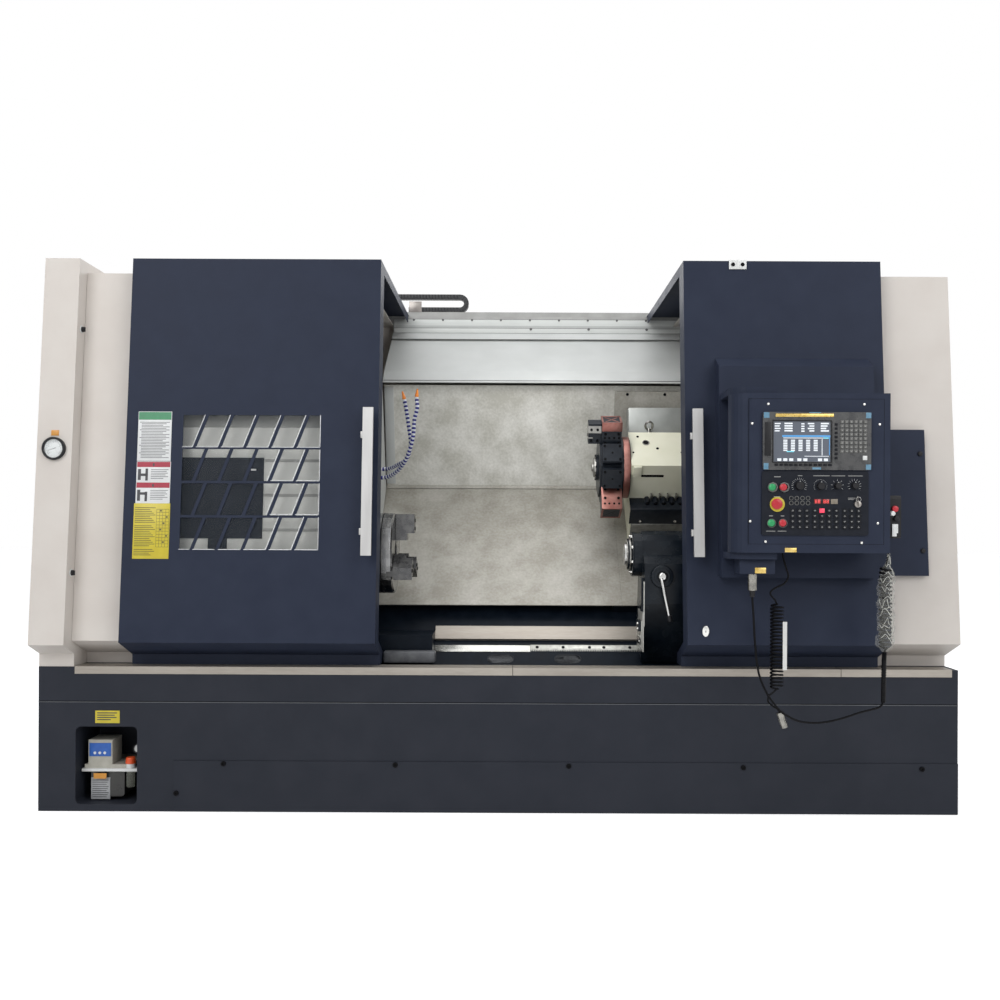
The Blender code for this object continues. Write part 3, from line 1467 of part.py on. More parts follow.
def energy_chain():
    """One flat loop of chain that lies on the rail and turns back over itself."""
    low = top_z - cover_drop_top + rail_height + rail_lip + seat_gap * 2
    centre_z = low + chain_bend
    points = [(chain_fixed_x, low), (chain_turn_x - chain_bend, low)]
    inner = []
    for k in range(1, 12):
        turn = -math.pi / 2 + math.pi * k / 12
        x = chain_turn_x - chain_bend
        points.append((x + chain_bend * math.cos(turn), centre_z + chain_bend * math.sin(turn)))
        reach = chain_bend - chain_height
        inner.append((x + reach * math.cos(turn), centre_z + reach * math.sin(turn)))
    points += [(chain_turn_x - chain_bend, low + chain_bend * 2), (chain_free_x, low + chain_bend * 2)]
    points += [(chain_free_x, low + chain_bend * 2 - chain_height)]
    points += [(chain_turn_x - chain_bend, low + chain_bend * 2 - chain_height)]
    points += inner[::-1]
    points += [(chain_turn_x - chain_bend, low + chain_height), (chain_fixed_x, low + chain_height)]
    prism("energy_chain", points, 1, chain_y, chain_y + chain_width, black_plastic)


def coolant_hoses():
    for name, points in hose_places.items():
        path = smooth_path(points, 3)
        radii = [hose_radius] * (len(path) - 3) + [hose_radius, hose_radius / 2, hose_tip_radius]
        hose = new_object(name, swept_mesh(path, radii, 10), blue_hose)
        hose.data.shade_smooth()


def build():
    clear_scene()
    base()
    lubricator()
    bed()
    headstock()
    motor()
    belt()
    end_guard()
    front_cover("headstock_cover", cover_left, headstock_cover_right, False, False)
    front_cover("right_cover", cover_right_left, half_length, False, True)
    rear_wall()
    inner_sheets()
    cabinet()
    spindle()
    motor_pulley()
    cross_slide(saddle())
    tailstock()
    door_frame = doors()
    control_support(door_frame)
    box, frame = control_panel(door_frame)
    centre = (swivel_x, panel_front_y + panel_box_depth / 2)
    for label, low, high in (("lower", panel_box_low - cut_over, panel_box_low + pin_reach),
                             ("upper", panel_box_high - pin_reach, panel_box_high + cut_over)):
        mesh = round_mesh([(low, swivel_radius + swivel_clear), (high, swivel_radius + swivel_clear)],
                          2, centre, small_sides)
        cut(box, new_object(label + "_pin_cut", in_frame(mesh, door_frame), None, frame))
    panel_controls(box, frame, door_frame)
    cables(frame, door_frame)
    side_hatch()
    energy_chain()
    coolant_hoses()


build()
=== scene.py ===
# Looks for the slant-bed turning lathe: paint, sheet steel, cast and moulded detail
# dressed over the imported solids. Metres, the row's own frame.
import math

import bmesh
import bpy
from mathutils import Matrix, Vector


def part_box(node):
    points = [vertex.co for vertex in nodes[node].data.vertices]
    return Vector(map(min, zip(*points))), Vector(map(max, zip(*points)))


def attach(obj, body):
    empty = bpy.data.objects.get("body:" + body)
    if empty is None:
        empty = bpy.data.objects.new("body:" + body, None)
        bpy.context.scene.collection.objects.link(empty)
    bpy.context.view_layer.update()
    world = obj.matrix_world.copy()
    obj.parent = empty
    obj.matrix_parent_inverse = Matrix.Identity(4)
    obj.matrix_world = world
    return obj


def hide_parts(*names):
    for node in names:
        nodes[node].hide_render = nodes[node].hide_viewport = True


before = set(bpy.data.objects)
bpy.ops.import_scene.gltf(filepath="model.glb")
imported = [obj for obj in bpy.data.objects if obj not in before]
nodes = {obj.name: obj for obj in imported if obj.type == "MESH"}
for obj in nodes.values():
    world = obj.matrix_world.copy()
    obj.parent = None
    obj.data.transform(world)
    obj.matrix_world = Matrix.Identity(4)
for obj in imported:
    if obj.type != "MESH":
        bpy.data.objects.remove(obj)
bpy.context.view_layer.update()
context = bpy.context


# Camera. It stands at the photograph's eye, level, with a slight roll.
eye = bpy.data.cameras.new("eye")
eye.lens = 38.9
eye.sensor_width = 36
eye.shift_x = -0.011
eye.shift_y = 0.024
camera = bpy.data.objects.new("camera", eye)
camera.location = (0.048, -5.237, 1.160)
camera.rotation_euler = (math.radians(90), math.radians(-0.25), 0)
context.scene.collection.objects.link(camera)
context.scene.camera = camera
context.scene.view_settings.view_transform = "Standard"


# The free cables. Both hang from the swinging control box: one runs from the
# pendant through a sprung coil and a ribbed sleeve to the connector under the
# lower arm, the other hangs in a coil and ends in a free connector.
cable_y = -1.158
spare_y = -1.118


def linked(name, mesh, body=None, finish=None):
    """Stand a mesh in the scene as a piece of its own, painted and on its body."""
    made = bpy.data.objects.new(name, mesh)
    context.scene.collection.objects.link(made)
    if finish:
        mesh.materials.append(finish)
    if body:
        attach(made, body)
    return made


def shape_mesh(shape, smooth=True, angle=35):
    """The mesh of a finished bmesh: faces outwards, smooth up to an angle or flat."""
    bmesh.ops.recalc_face_normals(shape, faces=shape.faces)
    mesh = bpy.data.meshes.new("shape")
    shape.to_mesh(mesh)
    shape.free()
    if smooth:
        mesh.shade_smooth()
        mesh.set_sharp_from_angle(angle=math.radians(angle))
    return mesh


def tube_into(shape, path, radii, sides=10):
    """Sweep a round section along a path, into an open bmesh. Its ends are capped."""
    points = [Vector(p) for p in path]
    if not hasattr(radii, "__len__"):
        radii = [radii] * len(points)
    side = None
    rings = []
    for k, here in enumerate(points):
        ahead = (points[min(k + 1, len(points) - 1)] - points[max(k - 1, 0)]).normalized()
        if side is None:
            side = ahead.orthogonal().normalized()
        side = (side - ahead * side.dot(ahead)).normalized()
        other = ahead.cross(side)
        ring = []
        for n in range(sides):
            turn = math.tau * n / sides
            offset = side * math.cos(turn) + other * math.sin(turn)
            ring.append(shape.verts.new(here + offset * radii[k]))
        rings.append(ring)
    for near, far in zip(rings, rings[1:]):
        for n in range(sides):
            shape.faces.new((near[n], near[(n + 1) % sides], far[(n + 1) % sides], far[n]))
    shape.faces.new(rings[0])
    shape.faces.new(rings[-1])


def smooth_route(points, steps):
    """One smooth curve through the points, in so many steps from each to the next."""
    ends = [Vector(p) for p in points]
    ends = [2 * ends[0] - ends[1]] + ends + [2 * ends[-1] - ends[-2]]
    found = []
    for a, b, c, d in zip(ends, ends[1:], ends[2:], ends[3:]):
        for k in range(steps):
            t = k / steps
            found.append(0.5 * (2 * b + (c - a) * t + (2 * a - 5 * b + 4 * c - d) * t * t
                                + (3 * b - a - 3 * c + d) * t * t * t))
    return found + [ends[-2]]


def coil_route(top, low, radius, turns, per_turn=14):
    """Points of a coil that hangs from one place to another and closes in at its ends."""
    top, low = Vector(top), Vector(low)
    found = []
    count = int(turns * per_turn)
    for k in range(count + 1):
        share = k / count
        angle = math.tau * turns * share
        fade = min(1.0, share * turns * 1.5, (1 - share) * turns * 1.5)
        reach = radius * math.sin(fade * math.pi / 2)
        turned = Vector((reach * math.cos(angle), reach * math.sin(angle), 0))
        found.append(top.lerp(low, share) + turned)
    return found


def at_y(points, y):
    return [(x, y, z) for x, z in points]


def plain_material(name, colour, roughness, metallic=0.0, **sockets):
    """One even surface. Further sockets are named with a line for each space."""
    made = bpy.data.materials.new(name)
    made.use_nodes = True
    shader = made.node_tree.nodes["Principled BSDF"]
    shader.inputs["Base Color"].default_value = (*colour, 1)
    shader.inputs["Roughness"].default_value = roughness
    shader.inputs["Metallic"].default_value = metallic
    for socket, value in sockets.items():
        shader.inputs[socket.replace("_", " ")].default_value = value
    return made


def grained(name, colour, other, roughness, metallic=0.0, scale=40.0, bump=0.1, stretch=(1, 1, 1),
            spread=0.10, depth=0.0005, shine=0.5, speck=0.0):
    """A painted, cast or rolled surface: two close colours and a fine relief, by noise."""
    made = plain_material(name, colour, roughness, metallic, Specular_IOR_Level=shine)
    tree = made.node_tree
    shader = tree.nodes["Principled BSDF"]

    def add(kind, **sockets):
        node = tree.nodes.new("ShaderNode" + kind)
        for socket, value in sockets.items():
            node.inputs[socket.replace("_", " ")].default_value = value
        return node

    place = add("TexCoord")
    spacing = add("Mapping", Scale=stretch)
    cloud = add("TexNoise", Scale=scale, Detail=5)
    fine = add("TexNoise", Scale=scale * 12, Detail=3)
    rough = add("MapRange", To_Min=max(0.02, roughness - spread),
                To_Max=min(1.0, roughness + spread))
    relief = add("Bump", Strength=bump, Distance=depth)
    blend = add("Mix")
    blend.inputs[0].default_value = speck
    ramp = add("ValToRGB")
    for stop, position, tone in zip(ramp.color_ramp.elements, (0.35, 0.70), (colour, other)):
        stop.position = position
        stop.color = (*tone, 1)
    for source, target in ((place.outputs["Object"], spacing.inputs["Vector"]),
                           (spacing.outputs["Vector"], cloud.inputs["Vector"]),
                           (spacing.outputs["Vector"], fine.inputs["Vector"]),
                           (cloud.outputs["Fac"], rough.inputs["Value"]),
                           (cloud.outputs["Fac"], blend.inputs[2]),
                           (fine.outputs["Fac"], blend.inputs[3]),
                           (blend.outputs[0], ramp.inputs["Fac"]),
                           (fine.outputs["Fac"], relief.inputs["Height"]),
                           (ramp.outputs["Color"], shader.inputs["Base Color"]),
                           (rough.outputs["Result"], shader.inputs["Roughness"]),
                           (relief.outputs["Normal"], shader.inputs["Normal"])):
        tree.links.new(source, target)
    return made


cable_black = grained("cable_black", (0.002, 0.002, 0.003), (0.005, 0.005, 0.006), 0.36, scale=60,
                      shine=0.10)
plug_steel = grained("plug_steel", (0.20, 0.195, 0.18), (0.36, 0.35, 0.32), 0.26, 1.0, scale=50)

head = smooth_route(at_y([(1.475, 1.1127), (1.475, 1.085), (1.473, 1.050), (1.468, 1.020)],
                         cable_y), 4)
coil = coil_route((1.463, cable_y, 1.005), (1.463, cable_y, 0.695), 0.021, 20)
tail = smooth_route(at_y([(1.460, 0.682), (1.458, 0.640), (1.457, 0.560), (1.456, 0.505),
                          (1.447, 0.478), (1.415, 0.466), (1.368, 0.454), (1.303, 0.432),
                          (1.243, 0.418), (1.191, 0.414), (1.139, 0.420), (1.100, 0.437),
                          (1.065, 0.461), (1.019, 0.521), (0.985, 0.603), (0.971, 0.7155),
                          (0.966, 0.802), (0.961, 0.870), (0.960, 0.8897)], cable_y), 3)
route = head + coil + tail
shape = bmesh.new()
tube_into(shape, route, 0.0040, 8)
pendant_cord = linked("pendant_cable", shape_mesh(shape), "control_panel", cable_black)
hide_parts("pendant_cord")

head = smooth_route(at_y([(1.085, 1.0570), (1.085, 1.040), (1.0997, 0.990), (1.106, 0.964),
                          (1.091, 0.938), (1.0604, 0.9225), (1.041, 0.909), (1.039, 0.894),
                          (1.055, 0.876)], spare_y), 3)
coil = coil_route((1.0627, spare_y, 0.860), (1.0627, spare_y, 0.535), 0.023, 24)
tail = smooth_route(at_y([(1.050, 0.522), (1.033, 0.508), (1.032, 0.486), (1.052, 0.468),
                          (1.068, 0.458), (1.0755, 0.4465)], spare_y), 3)
route = head + coil + tail
shape = bmesh.new()
tube_into(shape, route, 0.0035, 8)
spare_cord = linked("spare_cable", shape_mesh(shape), "control_panel", cable_black)
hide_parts("spare_cord")

# Dressings on the cables: a ribbed sleeve and a crumpled clear wrap on the first, and a
# paper tag tucked against the second's coil.
sleeve = bmesh.new()
course = smooth_route([(1.460, cable_y, 0.682), (1.458, cable_y, 0.640), (1.457, cable_y, 0.560),
                       (1.456, cable_y, 0.492)], 36)
tube_into(sleeve, course, [0.0100 if k % 4 < 2 else 0.0078 for k in range(len(course))], 14)
linked("ribbed_sleeve", shape_mesh(sleeve, True, 60), "control_panel", cable_black)
film_clear = plain_material("film_clear", (0.66, 0.66, 0.61), 0.12, Alpha=0.15)


def crumple(film, centre, depth):
    """Push a film's rings in and out round an upright line, in folds that don't repeat."""
    for vert in film.verts:
        out = Vector((vert.co.x - centre[0], vert.co.y - centre[1], 0))
        turn = math.atan2(out.y, out.x)
        wave = (math.sin(5 * turn + 61 * vert.co.z) +
                0.7 * math.sin(9 * turn - 143 * vert.co.z + 1.3))
        vert.co += out.normalized() * depth * wave * min(1.0, out.length / 0.02)


# The wrap's radius at each station down the coil, then painted highlights on its creases: bright
# thin lines that wander over the front of the film.
wrap = bmesh.new()
folds = (0.0046, 0.0052, 0.0075, 0.0140, 0.0245, 0.0300, 0.0268, 0.0310, 0.0265, 0.0325, 0.0270,
         0.0330, 0.0275, 0.0318, 0.0272, 0.0335, 0.0300, 0.0120)
course = smooth_route([(1.4740 - 0.0015 * min(k, 7) + 0.0020 * (k % 3 - 1), cable_y,
                        1.0720 - 0.0228 * k) for k in range(18)], 4)
swell = [folds[k // 4] + (folds[min(k // 4 + 1, 17)] - folds[k // 4]) * (k % 4) / 4
         for k in range(len(course))]
tube_into(wrap, course, swell, 24)
crumple(wrap, (1.4635, cable_y), 0.0026)
crease_glints = bmesh.new()
for k in range(19):
    middle, first = 5 + k * 3.1, -2.85 + 0.30 * ((k * 3) % 5)
    line = []
    for n in range(7):
        swing = 1.0 + 2.2 * math.sin(k * 1.7) ** 2
        wander = swing * math.sin(n * (1.1 + 0.4 * (k % 4)) + k * 2.3)
        ring = int(min(len(course) - 1, max(0, middle + wander)))
        here, reach = course[ring], swell[ring] + 0.0012
        turn = first + 0.27 * n
        line.append(here + Vector((reach * math.cos(turn), reach * math.sin(turn), 0)))
    tube_into(crease_glints, line, [0.0004, 0.0011, 0.0016, 0.0012, 0.0017, 0.0011, 0.0004], 5)
# The crease lines' pale, nearly opaque colour is a painted highlight on the film's front.
film_glints = plain_material("film_glints", (0.72, 0.72, 0.67), 0.15, Alpha=0.80)
linked("wrap_crease_glints", shape_mesh(crease_glints), "control_panel", film_glints)
linked("coil_wrap", shape_mesh(wrap, True, 25), "control_panel", film_clear)
paper = plain_material("paper", (0.74, 0.74, 0.72), 0.60)
tag = bmesh.new()
bmesh.ops.create_cube(tag, size=1)
bmesh.ops.scale(tag, verts=tag.verts, vec=(0.016, 0.0012, 0.183))
bmesh.ops.translate(tag, verts=tag.verts, vec=(1.0880, spare_y - 0.0240, 0.7020))
linked("paper_tag", shape_mesh(tag, False), "control_panel", paper)


# Light and floor: a plain pale floor and soft studio lamps round the machine.
def lamp(name, place, aim, power, size):
    data = bpy.data.lights.new(name, "AREA")
    data.energy = power
    data.size = size
    made = bpy.data.objects.new(name, data)
    made.location = place
    made.rotation_euler = (Vector(aim) - Vector(place)).to_track_quat("-Z", "Y").to_euler()
    context.scene.collection.objects.link(made)


lamp("key_lamp", (-3.5, -6.5, 5.0), (0, 0, 1.0), 200, 4.0)
lamp("fill_lamp", (4.5, -6.0, 4.0), (0, 0, 1.0), 130, 4.0)
lamp("top_lamp", (0.0, -0.5, 6.0), (0, 0, 1.0), 120, 5.0)
lamp("back_lamp", (0.0, 6.0, 4.5), (0, 0, 1.0), 140, 4.0)
lamp("work_lamp", (0.25, -0.66, 2.10), (0.25, 0.05, 1.45), 1.7, 0.3)
bpy.data.objects["work_lamp"].visible_camera = False


def looked_at(tree):
    """1 where the camera, a gloss or a glass looks at the surface, 0 where it only lights."""
    ray = tree.nodes.new("ShaderNodeLightPath")
    total = ray.outputs["Is Camera Ray"]
    for kind in ("Is Glossy Ray", "Is Transmission Ray"):
        adder = tree.nodes.new("ShaderNodeMath")
        adder.operation = "ADD"
        adder.use_clamp = True
        tree.links.new(total, adder.inputs[0])
        tree.links.new(ray.outputs[kind], adder.inputs[1])
        total = adder.outputs["Value"]
    return total


world = bpy.data.worlds.new("studio")
context.scene.world = world
world.use_nodes = True
tree = world.node_tree
soft = tree.nodes["Background"]
soft.inputs["Color"].default_value = (0.86, 0.88, 0.90, 1)
soft.inputs["Strength"].default_value = 0.42
seen = tree.nodes.new("ShaderNodeBackground")
seen.inputs["Color"].default_value = (1, 1, 1, 1)
seen.inputs["Strength"].default_value = 1.0
choice = tree.nodes.new("ShaderNodeMixShader")
tree.links.new(looked_at(tree), choice.inputs["Fac"])
tree.links.new(soft.outputs["Background"], choice.inputs[1])
tree.links.new(seen.outputs["Background"], choice.inputs[2])
tree.links.new(choice.outputs["Shader"], tree.nodes["World Output"].inputs["Surface"])

shape = bmesh.new()
bmesh.ops.create_grid(shape, x_segments=1, y_segments=1, size=40)
floor_pale = plain_material("floor_pale", (0.80, 0.80, 0.80), 0.80, Emission_Color=(1, 1, 1, 1))
floor = linked("studio_floor", shape_mesh(shape, False), None, floor_pale)
floor.location.z = -0.001
tree = floor_pale.node_tree
gain = tree.nodes.new("ShaderNodeMath")
gain.operation = "MULTIPLY"
gain.inputs[1].default_value = 0.64
tree.links.new(looked_at(tree), gain.inputs[0])
tree.links.new(gain.outputs["Value"],
               tree.nodes["Principled BSDF"].inputs["Emission Strength"])


# Surfaces of the plain solids, by what each is made of.
door_paint = grained("door_paint", (0.020, 0.026, 0.047), (0.025, 0.032, 0.055), 0.52, scale=9,
                     shine=0.14)
base_paint = grained("base_paint", (0.019, 0.022, 0.031), (0.025, 0.028, 0.038), 0.55, scale=7,
                     shine=0.18)
light_paint = grained("light_paint", (0.66, 0.61, 0.565), (0.70, 0.655, 0.61), 0.50, scale=6,
                      shine=0.3)
white_paint = grained("white_paint", (0.66, 0.68, 0.66), (0.71, 0.73, 0.71), 0.45, scale=6,
                      shine=0.3)
panel_paint = grained("panel_paint", (0.49, 0.505, 0.495), (0.545, 0.56, 0.55), 0.42, scale=6,
                      shine=0.3)
rail_grey = grained("rail_grey", (0.33, 0.33, 0.32), (0.41, 0.41, 0.40), 0.42, 0.2, scale=12)
cream_paint = grained("cream_paint", (0.84, 0.83, 0.66), (0.89, 0.88, 0.72), 0.42, scale=8,
                      shine=0.35)
cast_paint = grained("cast_paint", (0.008, 0.011, 0.016), (0.018, 0.021, 0.028), 0.50, scale=14,
                     bump=0.4, shine=0.3)
sheet_steel = grained("sheet_steel", (0.29, 0.275, 0.235), (0.47, 0.455, 0.415), 0.46, 0.20,
                      scale=7.5, spread=0.12, shine=0.4, speck=0.30, bump=0.25)
rear_steel = grained("rear_steel", (0.50, 0.49, 0.435), (0.80, 0.79, 0.745), 0.46, 0.20,
                     scale=7.5, spread=0.12, shine=0.4, speck=0.30, bump=0.25)
for blotched in (sheet_steel, rear_steel):
    tones = blotched.node_tree.nodes["Color Ramp"].color_ramp.elements
    tones[0].position, tones[1].position = 0.38, 0.66
handle_alloy = grained("handle_alloy", (0.48, 0.475, 0.47), (0.58, 0.575, 0.57), 0.34, 0.4,
                       scale=18, stretch=(1, 1, 0.1))
strip_steel = grained("strip_steel", (0.30, 0.27, 0.235), (0.42, 0.385, 0.34), 0.42, 0.5,
                      scale=14, stretch=(0.15, 1, 1), speck=0.25, shine=0.4)
ground_steel = grained("ground_steel", (0.50, 0.50, 0.49), (0.60, 0.60, 0.59), 0.28, 0.9,
                       scale=30)
tool_steel = grained("tool_steel", (0.22, 0.20, 0.19), (0.32, 0.30, 0.28), 0.35, 0.9, scale=24)
black_plastic = grained("black_plastic", (0.008, 0.008, 0.010), (0.014, 0.014, 0.016), 0.42,
                        scale=30, shine=0.25)
red_plastic = grained("red_plastic", (0.48, 0.012, 0.025), (0.54, 0.02, 0.035), 0.30, scale=30)
green_plastic = grained("green_plastic", (0.01, 0.30, 0.09), (0.02, 0.36, 0.12), 0.30, scale=30)
tank_plastic = grained("tank_plastic", (0.016, 0.016, 0.015), (0.030, 0.030, 0.027), 0.30,
                       scale=20)
pump_cream = grained("pump_cream", (0.40, 0.385, 0.33), (0.48, 0.465, 0.41), 0.45, scale=30)

painted = {
    door_paint: ["left_door", "right_door", "control_support", "control_box", "side_hatch"],
    base_paint: ["base", "access_panel"],
    light_paint: ["end_guard", "headstock_cover", "right_cover", "rear_wall",
                  "electrical_cabinet", "cabinet_door"],
    handle_alloy: ["left_handle", "right_handle"],
    panel_paint: ["upper_panel", "side_panel"],
    rail_grey: ["rear_rail"],
    cream_paint: ["turret_body"],
    pump_cream: ["lubricator_pump"],
    cast_paint: ["main_motor", "clamp_lever"],
    sheet_steel: ["left_way_cover", "right_way_cover"],
    rear_steel: ["back_sheet"],
    strip_steel: ["ledge_strip", "tailstock_way"],
    ground_steel: ["quill"],
    plug_steel: ["swivel_connector", "free_connector"],
    tool_steel: ["motor_pulley"],
    black_plastic: ["mode_knob", "rate_knob", "feed_knob", "speed_knob", "pendant",
                    "energy_chain", "belt", "coolant_hose_1", "coolant_hose_2"],
    red_plastic: ["power_off_button", "emergency_stop", "hold_button"],
    green_plastic: ["power_on_button", "start_button"],
    tank_plastic: ["lubricator_tank"],
}


def repaint(name, surface):
    nodes[name].data.materials.clear()
    nodes[name].data.materials.append(surface)


for surface, names in painted.items():
    for name in names:
        repaint(name, surface)


# Doors. Two folded steel shells in dark satin paint, their edges broken by the press,
# with a pale alloy bar handle each, clipped to its feet from the side.
def clear_picks():
    bpy.ops.object.select_all(action="DESELECT")


def rounded_edges(piece, width, segments=2):
    """Give a solid the small radius of a folded or machined edge, as a live modifier."""
    edge = piece.modifiers.new("edge", "BEVEL")
    edge.width = width
    edge.segments = segments
    edge.limit_method = "ANGLE"
    edge.angle_limit = math.radians(40)
    edge.use_clamp_overlap = True
    edge.harden_normals = False


def finished(piece, name, finish, body, edge=0.0, segments=2):
    """Name a modelled piece, put its place in its mesh, paint it and seat it on its body."""
    piece.name = name
    clear_picks()
    piece.select_set(True)
    context.view_layer.objects.active = piece
    bpy.ops.object.transform_apply(location=True, rotation=True, scale=True)
    if edge:
        rounded_edges(piece, edge, segments)
        bpy.ops.object.modifier_apply(modifier="edge")
    bpy.ops.object.shade_smooth_by_angle(angle=math.radians(40))
    if finish:
        piece.data.materials.clear()
        piece.data.materials.append(finish)
    if body:
        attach(piece, body)
    return piece


def slab(low, high):
    """A block between two corners."""
    clear_picks()
    size = [b - a for a, b in zip(low, high)]
    centre = [(a + b) / 2 for a, b in zip(low, high)]
    bpy.ops.mesh.primitive_cube_add(size=1, location=centre, scale=size)
    return context.object


def barrel(start, end, radius, sides=24, tip=None):
    """A round bar, or a cone where the tip differs, from one place to another."""
    clear_picks()
    start, end = Vector(start), Vector(end)
    along = end - start
    tip = radius if tip is None else tip
    bpy.ops.mesh.primitive_cone_add(vertices=sides, radius1=radius, radius2=tip,
                                    depth=along.length, location=(start + end) / 2,
                                    rotation=along.to_track_quat("Z", "Y").to_euler())
    return context.object


def ring_of(start, end, outer, inner, sides=32):
    """A collar or washer: a round bar with an open bore."""
    made = barrel(start, end, outer, sides)
    clear_picks()
    made.select_set(True)
    bpy.ops.object.mode_set(mode="EDIT")
    bpy.ops.mesh.select_all(action="DESELECT")
    bpy.ops.object.mode_set(mode="OBJECT")
    for face in made.data.polygons:
        face.select = len(face.vertices) == sides
    bpy.ops.object.mode_set(mode="EDIT")
    bpy.ops.mesh.inset(thickness=outer - inner, use_individual=True)
    bpy.ops.mesh.bridge_edge_loops()
    bpy.ops.object.mode_set(mode="OBJECT")
    return made


def together(name, pieces, finish, body, edge=0.0):
    """Join pieces that are made or painted as one, each with its own place kept."""
    clear_picks()
    for piece in pieces:
        piece.select_set(True)
    context.view_layer.objects.active = pieces[0]
    bpy.ops.object.transform_apply(location=True, rotation=True, scale=True)
    bpy.ops.object.join()
    return finished(pieces[0], name, finish, body, edge)


lean_back, lean_rise, lean_foot = 0.150, 1.548, 0.687
face_tilt = math.atan2(lean_back, lean_rise)


def lean(z):
    """How far the front's leaning faces have gone back at a height."""
    return lean_back * (z - lean_foot) / lean_rise


def door_y(z):
    return -0.987 + lean(z)


def on_face(left, low, right, high, proud, y_of=door_y):
    """A plate that lies on a leaning face, proud of it, and tilted as the face is."""
    middle = (low + high) / 2
    tall = (high - low) / math.cos(face_tilt)
    y = y_of(middle)
    made = slab((left, y - proud, middle - tall / 2), (right, y + 0.001, middle + tall / 2))
    made.rotation_euler = (-face_tilt, 0, 0)
    return made


for name in ("left_door", "right_door", "control_support", "control_box"):
    rounded_edges(nodes[name], 0.003, 2)
for name in ("left_handle", "right_handle"):
    rounded_edges(nodes[name], 0.004, 2)

socket_black = grained("socket_black", (0.003, 0.003, 0.004), (0.006, 0.006, 0.007), 0.50, scale=90,
                       shine=0.08)
bright_steel = grained("bright_steel", (0.62, 0.62, 0.60), (0.74, 0.73, 0.70), 0.22, 1.0,
                       scale=40)


def cap_screw(place, aim, radius=0.006, tall=0.005):
    """A socket head screw with its hexagon recess sunk in by hand: head, then socket."""
    place, aim = Vector(place), Vector(aim).normalized()
    head = barrel(place - aim * 0.001, place + aim * tall, radius, 20, radius * 0.93)
    clear_picks()
    head.select_set(True)
    top = max(head.data.polygons, key=lambda face: (face.center.z, len(face.vertices)))
    for face in head.data.polygons:
        face.select = face.index == top.index
    bpy.ops.object.mode_set(mode="EDIT")
    bpy.ops.mesh.select_mode(type="FACE")
    bpy.ops.mesh.inset(thickness=radius * 0.45)
    bpy.ops.mesh.extrude_region_move(TRANSFORM_OT_translate={
        "value": tuple(-aim * tall * 0.6)})
    bpy.ops.object.mode_set(mode="OBJECT")
    return head


for side, left, body in (("left", -0.541, "left_door"), ("right", 0.766, "right_door")):
    tabs = [slab((left - 0.0085, door_y(z) - 0.050, z - 0.013),
                 (left + 0.0020, door_y(z) - 0.036, z + 0.013)) for z in (1.128, 1.512)]
    together(side + "_handle_tabs", tabs, handle_alloy, body, 0.0010)

# The two-hole bracket over the right door's top corner, and its small key latch.
white_enamel = grained("white_enamel", (0.74, 0.75, 0.74), (0.80, 0.81, 0.80), 0.35, scale=30)
bracket = slab((0.930, -0.8442, 2.2350), (1.001, -0.800, 2.2380))
upright = slab((0.930, -0.8445, 2.2000), (1.001, -0.8415, 2.2380))
together("door_bracket", [bracket, upright], white_enamel, "right_door", 0.0006)
screws = [cap_screw((x, -0.8445, 2.219), (0, -1, 0), 0.008, 0.003) for x in (0.946, 0.985)]
together("door_bracket_screws", screws, socket_black, "right_door")
latch = barrel((0.815, -0.957, 0.745), (0.815, -0.990, 0.742), 0.022, 32)
latch.scale = (0.62, 1, 1.25)
finished(latch, "key_latch", bright_steel, "right_door", 0.002)
core = barrel((0.815, -0.985, 0.743), (0.815, -0.9925, 0.742), 0.009, 24)
slot = slab((0.8135, -0.9945, 0.737), (0.8165, -0.990, 0.748))
together("key_latch_core", [core, slot], socket_black, "right_door", 0.0006)


# The viewing window in the left door. A clear pane behind four rows of slanted bars; thin bright
# lines along the foot and the right of each cell are painted highlights where the pane's cut edges
# catch the light.
def tinted_glass(name, tint, roughness):
    """Thin clear glass or moulded plastic, hardly bending what is seen through it."""
    return plain_material(name, tint, roughness, Transmission_Weight=0.9, IOR=1.12)


window_glass = plain_material("window_glass", (0.10, 0.115, 0.13), 0.04, Alpha=0.12,
                              Specular_IOR_Level=0.10)
repaint("left_window", window_glass)
glint_paint = grained("glint_paint", (0.55, 0.56, 0.58), (0.70, 0.71, 0.72), 0.30, 0.6, scale=60)
window_left, window_right, window_low, window_high = -1.268, -0.716, 1.053, 1.592
row_pitch = (window_high - window_low) / 4
row_gap = 0.005
glint_lines = bmesh.new()
for row in range(4):
    low = window_low + row * row_pitch + (row_gap if row else 0)
    high = window_low + (row + 1) * row_pitch - (row_gap if row < 3 else 0)
    starts = [window_left + 0.041 + k * 0.101 for k in range(5)]
    lefts = [None] + [x + 0.014 for x in starts]
    rights = starts + [None]
    for left, right in zip(lefts, rights):
        slant = 0.374 * (high - low)
        corners = [(window_left if left is None else left, low),
                   (window_right if right is None else right, low),
                   (window_right if right is None else right + slant, high),
                   (window_left if left is None else left + slant, high)]
        for (x0, z0), (x1, z1) in (corners[0:2], corners[1:3]):
            # No painted highlight where the dark hatch lies behind the pane.
            if x0 + x1 < -1.908 and 2.194 < z0 + z1 < 2.840:
                continue
            ends = [(x0 - 0.002, door_y(z0) - 0.0002, z0 + 0.001),
                    (x1 - 0.002, door_y(z1) - 0.0002, z1 + 0.001)]
            tube_into(glint_lines, ends, 0.0014, 6)
linked("window_glint_lines", shape_mesh(glint_lines), "left_door", glint_paint)

# Behind the glass: the fixed cover, lined with pale sheet crossed by three thin darker bands and a
# broad painted shadow along its top, and in it a dark folded hatch with its catch.
hatch_dark = grained("hatch_dark", (0.010, 0.012, 0.019), (0.018, 0.021, 0.030), 0.45, scale=12,
                     shine=0.1)


def cover_y(z):
    return door_y(z) + 0.063


